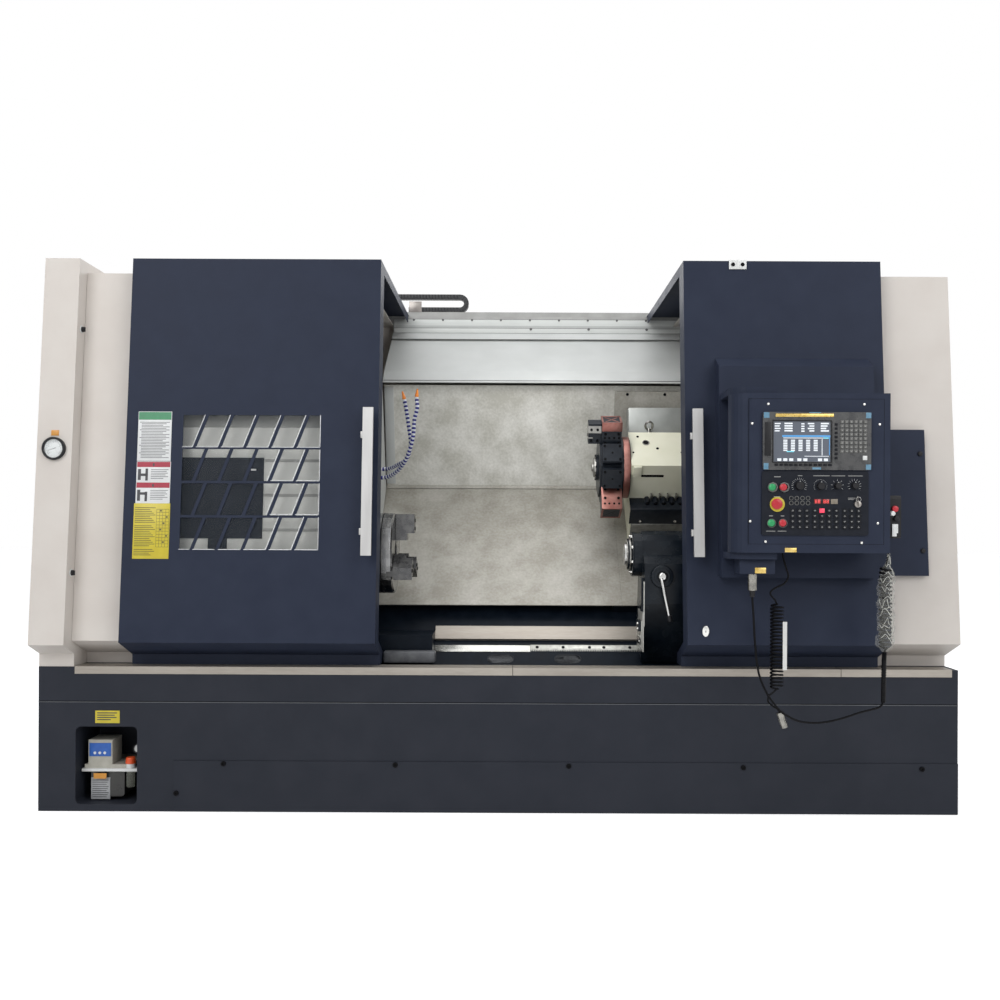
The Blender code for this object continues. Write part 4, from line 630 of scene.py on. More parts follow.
hatch = [on_face(-1.290, 1.097, -0.954, 1.424, 0.006, cover_y),
         on_face(-1.172, 1.052, -1.095, 1.110, 0.005, cover_y)]
together("inner_hatch", hatch, hatch_dark, "frame", 0.002)
catch = on_face(-1.004, 1.371, -0.984, 1.378, 0.012, cover_y)
finished(catch, "inner_hatch_catch", white_enamel, "frame", 0.001)
lined = on_face(-1.290, 1.045, -0.700, 1.600, 0.0015, cover_y)
finished(lined, "cover_lining", grained("lining_pale", (0.76, 0.76, 0.71), (0.84, 0.84, 0.79), 0.5,
                                       scale=9, stretch=(1, 1, 0.2)), "frame")
bands_and_shadow = [on_face(-1.290, z - 0.006, -0.700, z + 0.006, 0.0035, cover_y)
        for z in (1.132, 1.272, 1.4125)]
# The broad grey band across the top is painted shadow from the window's upper edge.
bands_and_shadow.append(on_face(-1.290, 1.547, -0.700, 1.610, 0.0030, cover_y))
band_and_shadow_grey = grained("band_and_shadow_grey", (0.40, 0.40, 0.37), (0.47, 0.47, 0.44), 0.5, scale=10)
together("cover_bands_and_shadow", bands_and_shadow, band_and_shadow_grey, "frame", 0.001)

# Plates on the left door and the end guard: plain fields of colour, thin printed sheet
# with a coloured head and ruled lines, riveted or stuck flat on the paint.
label_white = grained("label_white", (0.74, 0.75, 0.75), (0.79, 0.80, 0.80), 0.35, scale=30)
label_green = grained("label_green", (0.03, 0.21, 0.09), (0.04, 0.25, 0.11), 0.35, scale=30)
label_red = grained("label_red", (0.33, 0.012, 0.035), (0.38, 0.018, 0.045), 0.35, scale=30)
label_yellow = grained("label_yellow", (0.58, 0.47, 0.03), (0.64, 0.53, 0.04), 0.35, scale=30)
print_grey = grained("print_grey", (0.16, 0.16, 0.17), (0.20, 0.20, 0.21), 0.4, scale=30)
label_ink = grained("label_ink", (0.03, 0.03, 0.035), (0.05, 0.05, 0.055), 0.4, scale=30)
label_orange = grained("label_orange", (0.62, 0.26, 0.03), (0.68, 0.31, 0.05), 0.35, scale=30)
plate = on_face(-1.448, 1.406, -1.314, 1.605, 0.0016)
finished(plate, "notice_plate", label_white, "left_door", 0.0004)
finished(on_face(-1.446, 1.572, -1.316, 1.603, 0.0021), "notice_head", label_green, "left_door")
lines = []
for k in range(24):
    z = 1.5605 - 0.0062 * k
    start = -1.441 if k % 5 == 0 else -1.434
    lines.append(on_face(start, z, -1.322 - 0.013 * ((k * 2) % 5 // 2), z + 0.0026, 0.0020))
together("notice_lines", lines, print_grey, "left_door")
for k, low in enumerate((1.319, 1.236)):
    plate = on_face(-1.448, low, -1.312, low + 0.085, 0.0016)
    finished(plate, "caution_plate_" + str(k), label_white, "left_door", 0.0004)
    head = on_face(-1.446, low + 0.062, -1.314, low + 0.083, 0.0021)
    finished(head, "caution_head_" + str(k), label_red, "left_door")
    field = [on_face(-1.442, low + 0.010, -1.430, low + 0.054, 0.0021),
             on_face(-1.431, low + 0.026 + 0.008 * k, -1.402, low + 0.036 + 0.008 * k, 0.0021),
             on_face(-1.412, low + 0.008, -1.402, low + 0.056 - 0.010 * k, 0.0021),
             on_face(-1.3835, low + 0.066, -1.3765, low + 0.077, 0.0024)]
    together("caution_field_" + str(k), field, label_ink, "left_door")
    lines = [on_face(-1.390, low + 0.0505 - 0.0070 * n, -1.390 + wide, low + 0.0530 - 0.0070 * n,
                     0.0020) for n, wide in enumerate((0.070, 0.062, 0.067, 0.058, 0.069, 0.050))]
    together("caution_lines_" + str(k), lines, print_grey, "left_door")
print_olive = grained("print_olive", (0.10, 0.09, 0.02), (0.13, 0.12, 0.03), 0.4, scale=30)
plate = on_face(-1.453, 1.016, -1.309, 1.236, 0.0016)
finished(plate, "table_plate", label_yellow, "left_door", 0.0004)
rows = [on_face(-1.448, 1.217 - 0.0072 * k, -1.366 - 0.007 * (k * 3 % 4), 1.2195 - 0.0072 * k,
                0.0020) for k in range(27) if k not in (9, 22)]
rows += [on_face(-1.362, 1.212 - 0.0125 * k, -1.312, 1.2132 - 0.0125 * k, 0.0020)
         for k in range(13)]
rows += [on_face(x, 1.062, x + 0.0010, 1.213, 0.0020) for x in (-1.362, -1.350, -1.338, -1.326,
                                                                 -1.313)]
rows += [on_face(-1.3485 + 0.012 * (k * 2 % 3), 1.2035 - 0.025 * k,
                 -1.3410 + 0.012 * (k * 2 % 3), 1.2100 - 0.025 * k, 0.0021) for k in range(6)]
together("table_plate_lines", rows, print_olive, "left_door")


# End guard on the left: pale enamelled sheet, with a glycerine gauge let into its face,
# a small signal plate over it and two black quarter-turn knobs on its inner side.
for name in ("end_guard", "headstock_cover", "right_cover", "side_hatch", "electrical_cabinet",
             "cabinet_door"):
    rounded_edges(nodes[name], 0.004, 2)


def guard_y(z):
    return -1.002 + lean(z)


def peg(x, z, start, end, radius, sides=24, tip=None):
    """A round bar that stands straight out of the front, from one Y to another."""
    return barrel((x, start, z), (x, end, z), radius, sides, tip)


gauge_x, spot_z = -1.774, 1.453
face = guard_y(spot_z)
bezel = ring_of((gauge_x, face + 0.003, spot_z), (gauge_x, face - 0.016, spot_z), 0.046, 0.037, 48)
finished(bezel, "gauge_bezel", black_plastic, "frame", 0.0025, 3)
dial = peg(gauge_x, spot_z, face + 0.002, face - 0.006, 0.0375, 48)
finished(dial, "gauge_dial", label_white, "frame")
marks = bmesh.new()
for k in range(21):
    turn = math.radians(225 - 13.5 * k)
    spans = (0.026, 0.033) if k % 5 else (0.022, 0.033)
    ends = [(gauge_x + r * math.cos(turn), face - 0.0065, spot_z + r * math.sin(turn))
            for r in spans]
    tube_into(marks, ends, 0.0006, 4)
turn = math.radians(200)
needle = [(gauge_x - 0.008 * math.cos(turn), face - 0.008, spot_z - 0.008 * math.sin(turn)),
          (gauge_x + 0.027 * math.cos(turn), face - 0.008, spot_z + 0.027 * math.sin(turn))]
tube_into(marks, needle, [0.0016, 0.0005], 6)
linked("gauge_marks", shape_mesh(marks), "frame", label_ink)
glass = peg(gauge_x, spot_z, face - 0.010, face - 0.0125, 0.0372, 48)
finished(glass, "gauge_glass", tinted_glass("gauge_clear", (0.95, 0.96, 0.96), 0.02), "frame")
signal = on_face(-1.789, 1.505, -1.759, 1.527, 0.0016, guard_y)
finished(signal, "gauge_signal_plate", label_orange, "frame", 0.0003)
for k, z in enumerate((1.945, 0.958)):
    y = guard_y(z) + 0.045
    washer = barrel((-1.7055, y, z), (-1.7025, y, z), 0.0160, 28)
    finished(washer, "guard_lock_washer_" + str(k), white_enamel, "frame", 0.0008)
    knob = barrel((-1.7040, y, z), (-1.6930, y, z), 0.0115, 24, 0.0105)
    wing = slab((-1.6945, y - 0.0035, z - 0.0095), (-1.6890, y + 0.0035, z + 0.0095))
    together("guard_lock_" + str(k), [knob, wing], black_plastic, "frame", 0.0012)


# Base: a welded tank in dark paint. A folded front seam, an access panel on button-head
# bolts, and the brushed strip that finishes its front ledge in three lengths.
for name in ("base", "access_panel"):
    rounded_edges(nodes[name], 0.002, 1)
seam = slab((-1.845, -0.9012, 0.4400), (1.845, -0.8985, 0.4425))
finished(seam, "base_seam", socket_black, "frame")
# A paler strip just under the seam is a painted highlight on the fold's edge.
lip = slab((-1.845, -0.9016, 0.4370), (1.845, -0.8985, 0.4398))
seam_highlight = grained("seam_highlight", (0.085, 0.092, 0.105), (0.11, 0.118, 0.13), 0.40, scale=40)
finished(lip, "base_lip_highlight", seam_highlight, "frame", 0.0006)
bolts = []
for x, z in ((-1.101, 0.194), (-0.412, 0.192), (0.284, 0.190), (0.984, 0.187), (1.700, 0.184),
             (-1.290, 0.075)):
    bolts.append(cap_screw((x, -0.9040, z), (0, -1, 0), 0.0105, 0.006))
together("access_bolts", bolts, socket_black, "frame")
joints = [slab((x - 0.001, -0.9026, 0.5515), (x + 0.001, -0.808, 0.5826))
          for x in (0.0575, 1.375)]
together("strip_joints", joints, socket_black, "frame")

# Lubrication unit behind the base's window: pump and smoked tank on a white bracket, with
# a filler, a clear filter bowl and a gauge beside them.
label_blue = grained("label_blue", (0.02, 0.10, 0.42), (0.03, 0.14, 0.50), 0.35, scale=30)
for name in ("lubricator_pump", "lubricator_tank"):
    rounded_edges(nodes[name], 0.004, 3)
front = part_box("lubricator_pump")[0][1]
filler_x, dial_x = -1.4980, -1.4720
field = slab((-1.663, front - 0.0006, 0.208), (-1.575, front - 0.002, 0.262))
finished(field, "pump_field", label_blue, "frame", 0.0004)
dots = [peg(x, 0.222, front - 0.001, front - 0.0035, 0.0055, 20)
        for x in (-1.640, -1.620, -1.600)]
together("pump_dots", dots, white_enamel, "frame")
bracket = [slab((-1.690, front - 0.010, 0.1565), (-1.458, front + 0.060, 0.1595)),
           slab((-1.690, front - 0.012, 0.1485), (-1.458, front - 0.009, 0.1595))]
together("pump_bracket", bracket, white_enamel, "frame", 0.0006)
field = slab((-1.640, front - 0.0165, 0.120), (-1.588, front - 0.014, 0.142))
finished(field, "pump_signal_plate", label_orange, "frame", 0.0003)
tank_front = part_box("lubricator_tank")[0][1]
field = slab((-1.655, tank_front - 0.0018, 0.034), (-1.578, tank_front + 0.001, 0.122))
finished(field, "tank_field", grained("field_grey", (0.34, 0.35, 0.36), (0.42, 0.43, 0.44), 0.5,
                                      scale=30), "frame", 0.0004)
levels = [slab((-1.650, tank_front - 0.0024, 0.042 + 0.0085 * k),
               (-1.592 + 0.004 * (k % 3), tank_front - 0.0012, 0.0445 + 0.0085 * k))
          for k in range(9)]
together("tank_field_lines", levels, label_ink, "frame")
neck = barrel((filler_x, front + 0.008, 0.1595), (filler_x, front + 0.008, 0.188), 0.017, 32)
cap = barrel((filler_x, front + 0.008, 0.178), (filler_x, front + 0.008, 0.204), 0.021, 20, 0.018)
finished(neck, "filler_neck", white_enamel, "frame", 0.0015)
cap_orange = grained("cap_orange", (0.78, 0.085, 0.015), (0.84, 0.12, 0.03), 0.35, scale=30)
finished(cap, "filler_cap", cap_orange, "frame", 0.003)
bowl = barrel((filler_x, front + 0.008, 0.082), (filler_x, front + 0.008, 0.158), 0.016, 32, 0.018)
finished(bowl, "filter_bowl", tinted_glass("bowl_clear", (0.80, 0.82, 0.74), 0.08), "frame",
         0.004, 3)
gauge = ring_of((dial_x, front + 0.030, 0.236), (dial_x, front + 0.014, 0.236), 0.020, 0.016)
finished(gauge, "pump_gauge", black_plastic, "frame", 0.0012)
disc = peg(dial_x, 0.236, front + 0.030, front + 0.019, 0.0165, 32)
finished(disc, "pump_gauge_dial", white_enamel, "frame")
stem = barrel((dial_x, front + 0.024, 0.220), (dial_x, front + 0.024, 0.157), 0.005, 16)
finished(stem, "pump_gauge_stem", bright_steel, "frame", 0.001)
# The yellow plate over the window.
plate = slab((-1.617, -0.9015, 0.354), (-1.519, -0.8990, 0.404))
finished(plate, "lubricator_plate", label_yellow, "frame", 0.0004)
lines = [slab((-1.609, -0.9020, z), (-1.609 + wide, -0.9000, z + 0.004))
         for z, wide in ((0.393, 0.080), (0.384, 0.070), (0.375, 0.078), (0.366, 0.055))]
together("lubricator_plate_lines", lines, label_ink, "frame")


# Control panel. A dark enamelled box on a swinging arm: a display unit with a lit screen,
# soft keys and keypad over a plate with switches, dials, lamps and three blocks of keys.
panel_face = -1.2410
display_face = -1.2513
plate_face = -1.2463
for name in ("display_unit", "operator_plate"):
    rounded_edges(nodes[name], 0.0015, 2)
film_grey = grained("film_grey", (0.040, 0.041, 0.044), (0.085, 0.085, 0.085), 0.28, scale=30,
                    bump=0.5, depth=0.001, speck=0.2, shine=0.4)
plate_black = grained("plate_black", (0.011, 0.013, 0.019), (0.016, 0.018, 0.025), 0.50, scale=40,
                      shine=0.12)
mark_grey = grained("mark_grey", (0.34, 0.34, 0.33), (0.44, 0.44, 0.43), 0.45, scale=60)
repaint("operator_plate", plate_black)
repaint("display_unit", film_grey)


def lit(name, colour, strength):
    """A lamp or a part of the screen that gives its own light."""
    return plain_material(name, colour, 0.3, Emission_Color=(*colour, 1),
                          Emission_Strength=strength)


def fields(name, boxes, finish, face, proud, edge=0.0):
    """Flat fields on the panel, each standing proud of the face that carries it."""
    made = [slab((left, face - proud, low), (right, face + 0.001, high))
            for left, low, right, high in boxes]
    return together(name, made, finish, "control_panel", edge)


screen_face = -1.2473
screen_grey = lit("screen_grey", (0.085, 0.098, 0.125), 0.20)
screen_white = lit("screen_white", (0.80, 0.84, 0.88), 0.25)
screen_blue = lit("screen_blue", (0.08, 0.30, 0.62), 0.35)
screen_cyan = lit("screen_cyan", (0.20, 0.62, 0.74), 0.3)
fields("screen_ground", [(1.0160, 1.3945, 1.2260, 1.5435)], screen_grey, screen_face, 0.0006)
rows = []
for k in range(4):
    z = 1.5330 - 0.0090 * k
    rows += [(1.0200, z, 1.0420 - 0.004 * (k % 2), z + 0.0045),
             (1.0560, z, 1.0860, z + 0.0055), (1.1180, z - 0.001, 1.1300, z + 0.004),
             (1.1420 + 0.006 * (k % 2), z, 1.1660, z + 0.005),
             (1.1900, z, 1.2200 - 0.005 * (k % 3), z + 0.0055)]
for k in range(7):
    z = 1.4715 - 0.0062 * k
    rows += [(x, z, x + 0.0150, z + 0.0042) for x in (1.0520, 1.0800, 1.1080, 1.1360, 1.1640)]
rows += [(1.0520, 1.4810, 1.2200, 1.4835), (1.1940, 1.4180, 1.1965, 1.4790),
         (1.1300, 1.4140, 1.2200, 1.4160)]
rows += [(x, 1.3970, x + 0.0150, 1.4070) for x in (1.030, 1.052, 1.074, 1.104, 1.126, 1.180,
                                                   1.202)]
fields("screen_rows", rows, screen_white, screen_face, 0.0011)
fields("screen_bands", [(1.0480, 1.4860, 1.2250, 1.4925), (1.2210, 1.4190, 1.2235, 1.4860)],
       screen_blue, screen_face, 0.0013)
fields("screen_marks", [(1.0640, 1.4300, 1.0920, 1.4340), (1.2000, 1.4800, 1.2200, 1.4845)],
       screen_cyan, screen_face, 0.0014)
rim = [(1.0125, 1.3900, 1.2300, 1.3930), (1.0125, 1.5450, 1.2300, 1.5480),
       (1.0110, 1.3900, 1.0140, 1.5480), (1.2285, 1.3900, 1.2315, 1.5480)]
fields("screen_rim", rim, black_plastic, display_face, 0.0020, 0.0006)
gold = grained("gold_strip", (0.62, 0.42, 0.10), (0.72, 0.54, 0.20), 0.28, 0.7, scale=60)
fields("display_strip", [(1.0223, 1.5600, 1.2367, 1.5715)], gold, display_face, 0.0012, 0.0003)
fields("card_slot", [(0.9828, 1.4158, 1.0050, 1.5402)], black_plastic, display_face, 0.0030,
       0.0012)
film_blue = grained("film_blue", (0.10, 0.24, 0.36), (0.16, 0.32, 0.45), 0.30, scale=60)
tabs = [(0.9790, 1.5560, 0.9995, 1.5765), (1.3560, 1.5560, 1.3750, 1.5765),
        (0.9790, 1.3660, 0.9965, 1.3890), (1.3560, 1.3660, 1.3750, 1.3850),
        (1.1585, 1.3660, 1.1905, 1.3740), (1.1460, 1.5735, 1.1900, 1.5770)]
fields("film_tabs", tabs, film_blue, display_face, 0.0008)
key_black = grained("key_black", (0.006, 0.007, 0.010), (0.012, 0.013, 0.017), 0.50, scale=80,
                    shine=0.15)
key_grey = grained("key_grey", (0.11, 0.11, 0.105), (0.17, 0.17, 0.16), 0.42, scale=80)
soft_keys = [(1.0190 + 0.0180 * k, 1.3790, 1.0320 + 0.0180 * k, 1.3870) for k in range(12)]
soft_keys += [(1.2410, 1.4040 + 0.0155 * k, 1.2510, 1.4130 + 0.0155 * k) for k in range(9)]
fields("soft_keys", soft_keys, key_black, display_face, 0.0034, 0.0009)
pad_keys = [(1.2610 + 0.0170 * c, 1.4280 + 0.0155 * r, 1.2740 + 0.0170 * c, 1.4395 + 0.0155 * r)
            for c in range(6) for r in range(8)]
fields("keypad", pad_keys, key_grey, display_face, 0.0034, 0.0012)
caps = [(a + 0.0045, c + 0.0035, a + 0.0085, c + 0.0060) for a, c, b, d in pad_keys]
fields("keypad_marks", caps, mark_grey, display_face, 0.0037)
fields("reset_key", [(1.3440, 1.4010, 1.3600, 1.4170)], white_enamel, display_face, 0.0040,
       0.0012)

# The operator plate: captions, collars, dials with their ticks, lamps, keys.
captions = [(1.0190, 1.3375, 1.0430, 1.3400), (1.1070, 1.3420, 1.1230, 1.3440),
            (1.1640, 1.3420, 1.2240, 1.3440), (1.2310, 1.3420, 1.2810, 1.3440),
            (1.2920, 1.3420, 1.3460, 1.3440), (1.0180, 1.2640, 1.0420, 1.2660),
            (1.0010, 1.1930, 1.0150, 1.1955), (1.0440, 1.1930, 1.0570, 1.1955),
            (0.9910, 1.1370, 1.0240, 1.1390), (1.0330, 1.1370, 1.0650, 1.1390),
            (1.2920, 1.2600, 1.3200, 1.2620), (1.2920, 1.2550, 1.3140, 1.2565)]
fields("plate_captions", captions, mark_grey, plate_face, 0.0008)
collars = []
for x, z in ((1.0133, 1.3000), (1.0563, 1.3000)):
    collars.append(ring_of((x, plate_face + 0.001, z), (x, plate_face - 0.0065, z), 0.0190,
                           0.0140, 8))
for x, z in ((1.0098, 1.1670), (1.0516, 1.1670)):
    collars.append(ring_of((x, plate_face + 0.001, z), (x, plate_face - 0.0045, z), 0.0165,
                           0.0140, 32))
together("button_collars", collars, key_grey, "control_panel", 0.0010)
stop_ring = ring_of((1.0310, plate_face + 0.001, 1.2370), (1.0310, plate_face - 0.0030, 1.2370),
                    0.0275, 0.0120, 40)
finished(stop_ring, "stop_ring", label_yellow, "control_panel", 0.0008)
ticks = bmesh.new()
knobs = {"mode_knob": (17, 0.0225, 0.0290), "rate_knob": (21, 0.0225, 0.0250),
         "feed_knob": (7, 0.0180, 0.0240), "speed_knob": (11, 0.0190, 0.0250)}
for name, (count, near, far) in knobs.items():
    low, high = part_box(name)
    x, z = (low[0] + high[0]) / 2, (low[2] + high[2]) / 2
    for k in range(count):
        turn = math.radians(210 - 240 * k / (count - 1))
        ends = [(x + r * math.cos(turn), plate_face - 0.0004, z + r * math.sin(turn))
                for r in (near, far)]
        tube_into(ticks, ends, 0.0005, 4)
linked("dial_ticks", shape_mesh(ticks), "control_panel", label_white)
for name in knobs:
    low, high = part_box(name)
    x, z, front = (low[0] + high[0]) / 2, (low[2] + high[2]) / 2, low[1]
    rounded_edges(nodes[name], 0.0012, 2)
    rim = (high[0] - low[0]) / 2
    mark = slab((x - 0.0010, front + 0.0002, z + rim * 0.90),
                (x + 0.0010, front + 0.010, z + rim + 0.0010))
    finished(mark, name + "_mark", label_white, name)
lamps = [ring_of((x, plate_face + 0.001, z), (x, plate_face - 0.0018, z), 0.0080, 0.0062, 24)
         for x in (1.0826, 1.1030, 1.1239, 1.1443) for z in (1.2600, 1.2420)]
together("lamp_rings", lamps, key_grey, "control_panel")
lenses = [peg(x, z, plate_face + 0.001, plate_face - 0.0012, 0.0064, 24)
          for x in (1.0826, 1.1030, 1.1239, 1.1443) for z in (1.2600, 1.2420)]
together("lamp_lenses", lenses, key_black, "control_panel")
readouts = [(1.1664, 1.2390, 1.1930, 1.2574), (1.1979, 1.2390, 1.2238, 1.2574)]
fields("readout_windows", readouts, grained("readout_dark", (0.10, 0.008, 0.008),
       (0.14, 0.01, 0.01), 0.2, scale=40), plate_face, 0.0014, 0.0003)
readout_beige = grained("readout_beige", (0.20, 0.17, 0.13), (0.27, 0.23, 0.18), 0.35, scale=60)
fields("blank_readout", [(1.2287, 1.2390, 1.2540, 1.2574)], readout_beige, plate_face, 0.0014,
       0.0003)
segments = []
for left in (1.1705, 1.1815, 1.2020, 1.2130):
    width, low, high = 0.0068, 1.2425, 1.2540
    middle = (low + high) / 2
    thin = 0.0011
    segments += [(left, low, left + width, low + thin), (left, high - thin, left + width, high),
                 (left, middle - thin / 2, left + width, middle + thin / 2),
                 (left, low, left + thin, high), (left + width - thin, low, left + width, high)]
fields("readout_segments", segments, lit("readout_red", (0.90, 0.10, 0.10), 0.8), plate_face,
       0.0018)
key_marks = []
blocks = []
for columns in ((1.0876, 1.1135, 1.1400), (1.1695, 1.1960, 1.2225, 1.2490),
                (1.2798, 1.3057, 1.3310)):
    for x in columns:
        for row in range(4):
            z = 1.2143 - 0.0202 * row
            if row == 0 and abs(x - 1.1960) < 0.001:
                continue
            blocks.append((x - 0.0092, z - 0.0078, x + 0.0092, z + 0.0078))
            drop = 0.0012 * ((row + len(columns)) % 3 - 1)
            key_marks += [(x - 0.0040, z - 0.0005 + drop, x + 0.0040, z + 0.0008 + drop),
                          (x - 0.0007, z - 0.0032, x + 0.0007, z + 0.0032)]
fields("key_blocks", blocks, key_black, plate_face, 0.0032, 0.0010)
fields("key_marks", key_marks, mark_grey, plate_face, 0.0035)
fields("lit_key", [(1.1868, 1.2065, 1.2052, 1.2221)], lit("lit_red", (0.85, 0.05, 0.10), 0.6),
       plate_face, 0.0033, 0.0010)
lock = peg(1.3270, 1.2390, plate_face + 0.001, plate_face - 0.0085, 0.0125, 32)
finished(lock, "key_switch", tool_steel, "control_panel", 0.0012)
blades = [slab((1.3262, plate_face - 0.0165, 1.2300), (1.3278, plate_face - 0.0060, 1.2480)),
          slab((1.3235, plate_face - 0.0150, 1.2440), (1.3250, plate_face - 0.0050, 1.2680))]
together("switch_keys", blades, tool_steel, "control_panel", 0.0006)
loop = [(1.3270 + 0.009 * math.sin(t), plate_face - 0.0140, 1.2560 + 0.009 * math.cos(t))
        for t in [math.tau * k / 20 for k in range(21)]]
ring = bmesh.new()
tube_into(ring, loop, 0.0008, 6)
linked("switch_key_ring", shape_mesh(ring), "control_panel", bright_steel)

# The box's own fixings: eight pan screws, the folded front's frame line and a small plate.
screws = [(0.9378, 1.5359), (1.4092, 1.5341), (0.9317, 1.1742), (1.4037, 1.1687),
          (0.9890, 1.0990), (1.3445, 1.0960), (0.9970, 1.6080), (1.3520, 1.6080)]
heads = [peg(x, z, panel_face + 0.001, panel_face - 0.0040, 0.0062, 20, 0.0042) for x, z in screws]
together("panel_screws", heads, bright_steel, "control_panel", 0.0008)
frame_line = [(0.9250, 1.0895, 0.9262, 1.6280), (1.4262, 1.0895, 1.4274, 1.6280),
              (0.9250, 1.0895, 1.4274, 1.0905), (0.9250, 1.6270, 1.4274, 1.6280)]
fields("panel_frame_line", frame_line, socket_black, panel_face, 0.0003)
fields("panel_orange_plate", [(1.0611, 1.0600, 1.1042, 1.0760)], gold, panel_face, 0.0012,
       0.0003)

# Pendant on the box's right side: a moulded hand unit on a white hook, with a red stop
# button, a white and a black knob on its face.
rounded_edges(nodes["pendant"], 0.004, 3)
x, front = 1.4750, -1.2153
button = peg(x, 1.222, front + 0.001, front - 0.012, 0.0125, 24, 0.0115)
finished(button, "pendant_stop", red_plastic, "control_panel", 0.0015)
knob = peg(1.4640, 1.205, front + 0.001, front - 0.020, 0.0095, 24, 0.0085)
finished(knob, "pendant_white_knob", white_enamel, "control_panel", 0.0015)
knob = peg(1.4800, 1.186, front + 0.001, front - 0.015, 0.0105, 24, 0.0090)
finished(knob, "pendant_black_knob", black_plastic, "control_panel", 0.0015)
hook = [slab((1.4650, front - 0.006, 1.120), (1.4820, front - 0.001, 1.166)),
        slab((1.4820, front - 0.006, 1.132), (1.4870, front + 0.030, 1.166))]
together("pendant_hook", hook, white_enamel, "control_panel", 0.0012)

# The lower arm's closed end, over the connector that the pendant cable is screwed into: a
# painted box with a small plate; the connector's hexagon, knurled ring and rubber boot.
arm_end = slab((0.9050, -1.1920, 0.9760), (1.0380, -1.0900, 1.0327))
finished(arm_end, "arm_end", door_paint, "right_door", 0.0030)
plate = slab((0.9620, -1.1932, 0.9795), (1.0030, -1.1915, 1.0005))
finished(plate, "arm_plate", gold, "right_door", 0.0003)
nut = [barrel((0.9600, cable_y, 0.9765), (0.9600, cable_y, 0.9560), 0.0178, 6),
       barrel((0.9600, cable_y, 0.9500), (0.9600, cable_y, 0.9420), 0.0158, 32),
       barrel((0.9600, cable_y, 0.9330), (0.9600, cable_y, 0.9270), 0.0148, 32)]
together("connector_nut", nut, plug_steel, "control_panel", 0.0010)
boot = barrel((0.9600, cable_y, 0.9120), (0.9600, cable_y, 0.8880), 0.0112, 24, 0.0088)
finished(boot, "connector_boot", black_plastic, "control_panel", 0.0015)


# Work-space linings. Stepped white sheet at the top, brushed stainless below it, each
# panel folded over the next, and the raised cover plate by the turret on button screws.
for name in ("upper_panel", "side_panel", "back_sheet", "rear_rail"):
    rounded_edges(nodes[name], 0.0008, 1)


def slope(up, above):
    """A (y, z) place from how far it lies up the slanted bed and how far above it."""
    root = math.sqrt(0.5)
    return -0.637 + (up - above) * root, 1.034 + (up + above) * root


def sheet_strip(name, left, right, outline, finish, body, edge=0.0):
    """A folded strip of sheet: its section, given as (y, z) corners, run along X."""
    shape = bmesh.new()
    near = [shape.verts.new((left, y, z)) for y, z in outline]
    shape.faces.new(near)
    grown = bmesh.ops.extrude_face_region(shape, geom=shape.faces[:])["geom"]
    far = [item for item in grown if isinstance(item, bmesh.types.BMVert)]
    bmesh.ops.translate(shape, verts=far, vec=(right - left, 0, 0))
    made = linked(name, shape_mesh(shape, False))
    return finished(made, name, finish, body, edge)


lining_left, lining_right = -0.5600, 1.836
# The underside steps just below the rail, from the lip down to the smooth panel.
seam_and_shadow_grey = grained("seam_and_shadow_grey", (0.10, 0.10, 0.10), (0.16, 0.16, 0.155), 0.45, scale=40)
lip_y, lip_z = -0.130, 1.830
for k, (y, z, deep) in enumerate(((0.3435, 2.2155, 0.044), (0.336, 2.1690, 0.029),
                                  (0.328, 2.1370, 0.031), (0.320, 2.1030, 0.010))):
    strip = [(y, z), (y + 0.0015, z), (y + 0.0015, z - deep), (y, z - deep)]
    sheet_strip("roof_step_" + str(k), lining_left, lining_right, strip, white_paint, "frame",
                0.0004)
    # A thin dark strip along each step's top edge is painted shadow under the step or rail above.
    strip = [(y - 0.0002, z + 0.0012), (y + 0.0012, z + 0.0012), (y + 0.0012, z - 0.0008),
             (y - 0.0002, z - 0.0008)]
    sheet_strip("roof_step_shadow_" + str(k), lining_left, lining_right, strip, seam_and_shadow_grey, "frame")


def roof(up, proud):
    """A (y, z) place on the smooth panel: z along its slope, and how proud of it."""
    return 0.3635 - (2.18 - up) * 1.41 - 0.5785 * proud, up + 0.8157 * proud


# Two folded bands lie on the smooth panel, one under the steps and one along its lip.
for k, (low, high) in enumerate(((2.0933, 2.1340), (1.8360, 1.8670))):
    strip = [roof(low, 0.0), roof(low, 0.003), roof(high, 0.003), roof(high, 0.0)]
    sheet_strip("roof_band_" + str(k), lining_left, lining_right, strip, panel_paint, "frame",
                0.0006)
    for up in (low, high):
        strip = [roof(up - 0.0012, 0.002), roof(up - 0.0012, 0.0034), roof(up + 0.0012, 0.0034),
                 roof(up + 0.0012, 0.002)]
        sheet_strip("roof_band_line", lining_left, lining_right, strip, seam_and_shadow_grey, "frame")
screws = [cap_screw((x, 0.3435, 2.2125), (0, -1, 0), 0.0060, 0.003)
          for x in (-0.458, -0.308, -0.158, -0.009, 0.141, 0.291, 0.440, 0.590, 0.740)]
screws += [cap_screw((x, 0.336, 2.1650), (0, -1, 0), 0.0070, 0.003) for x in (0.146, 0.444, 0.743)]
screws.append(cap_screw((0.700, 0.328, 2.1150), (0, -1, 0), 0.0070, 0.003))
together("roof_step_screws", screws, seam_and_shadow_grey, "frame")
lining_fold = [(lip_y - 0.0020, lip_z - 0.0010), (lip_y + 0.004, lip_z + 0.006),
               (lip_y + 0.006, lip_z + 0.004), (lip_y, lip_z - 0.0040)]
sheet_strip("panel_lip_trim", -0.5590, 1.836, lining_fold, panel_paint, "frame")


def lining(up):
    """Where the upper back sheet stands, from its lower seam at 0 to its top edge at 1."""
    low, high = (0.0574, 1.3466), (-0.075, 1.822)
    return low[0] + (high[0] - low[0]) * up, low[1] + (high[1] - low[1]) * up
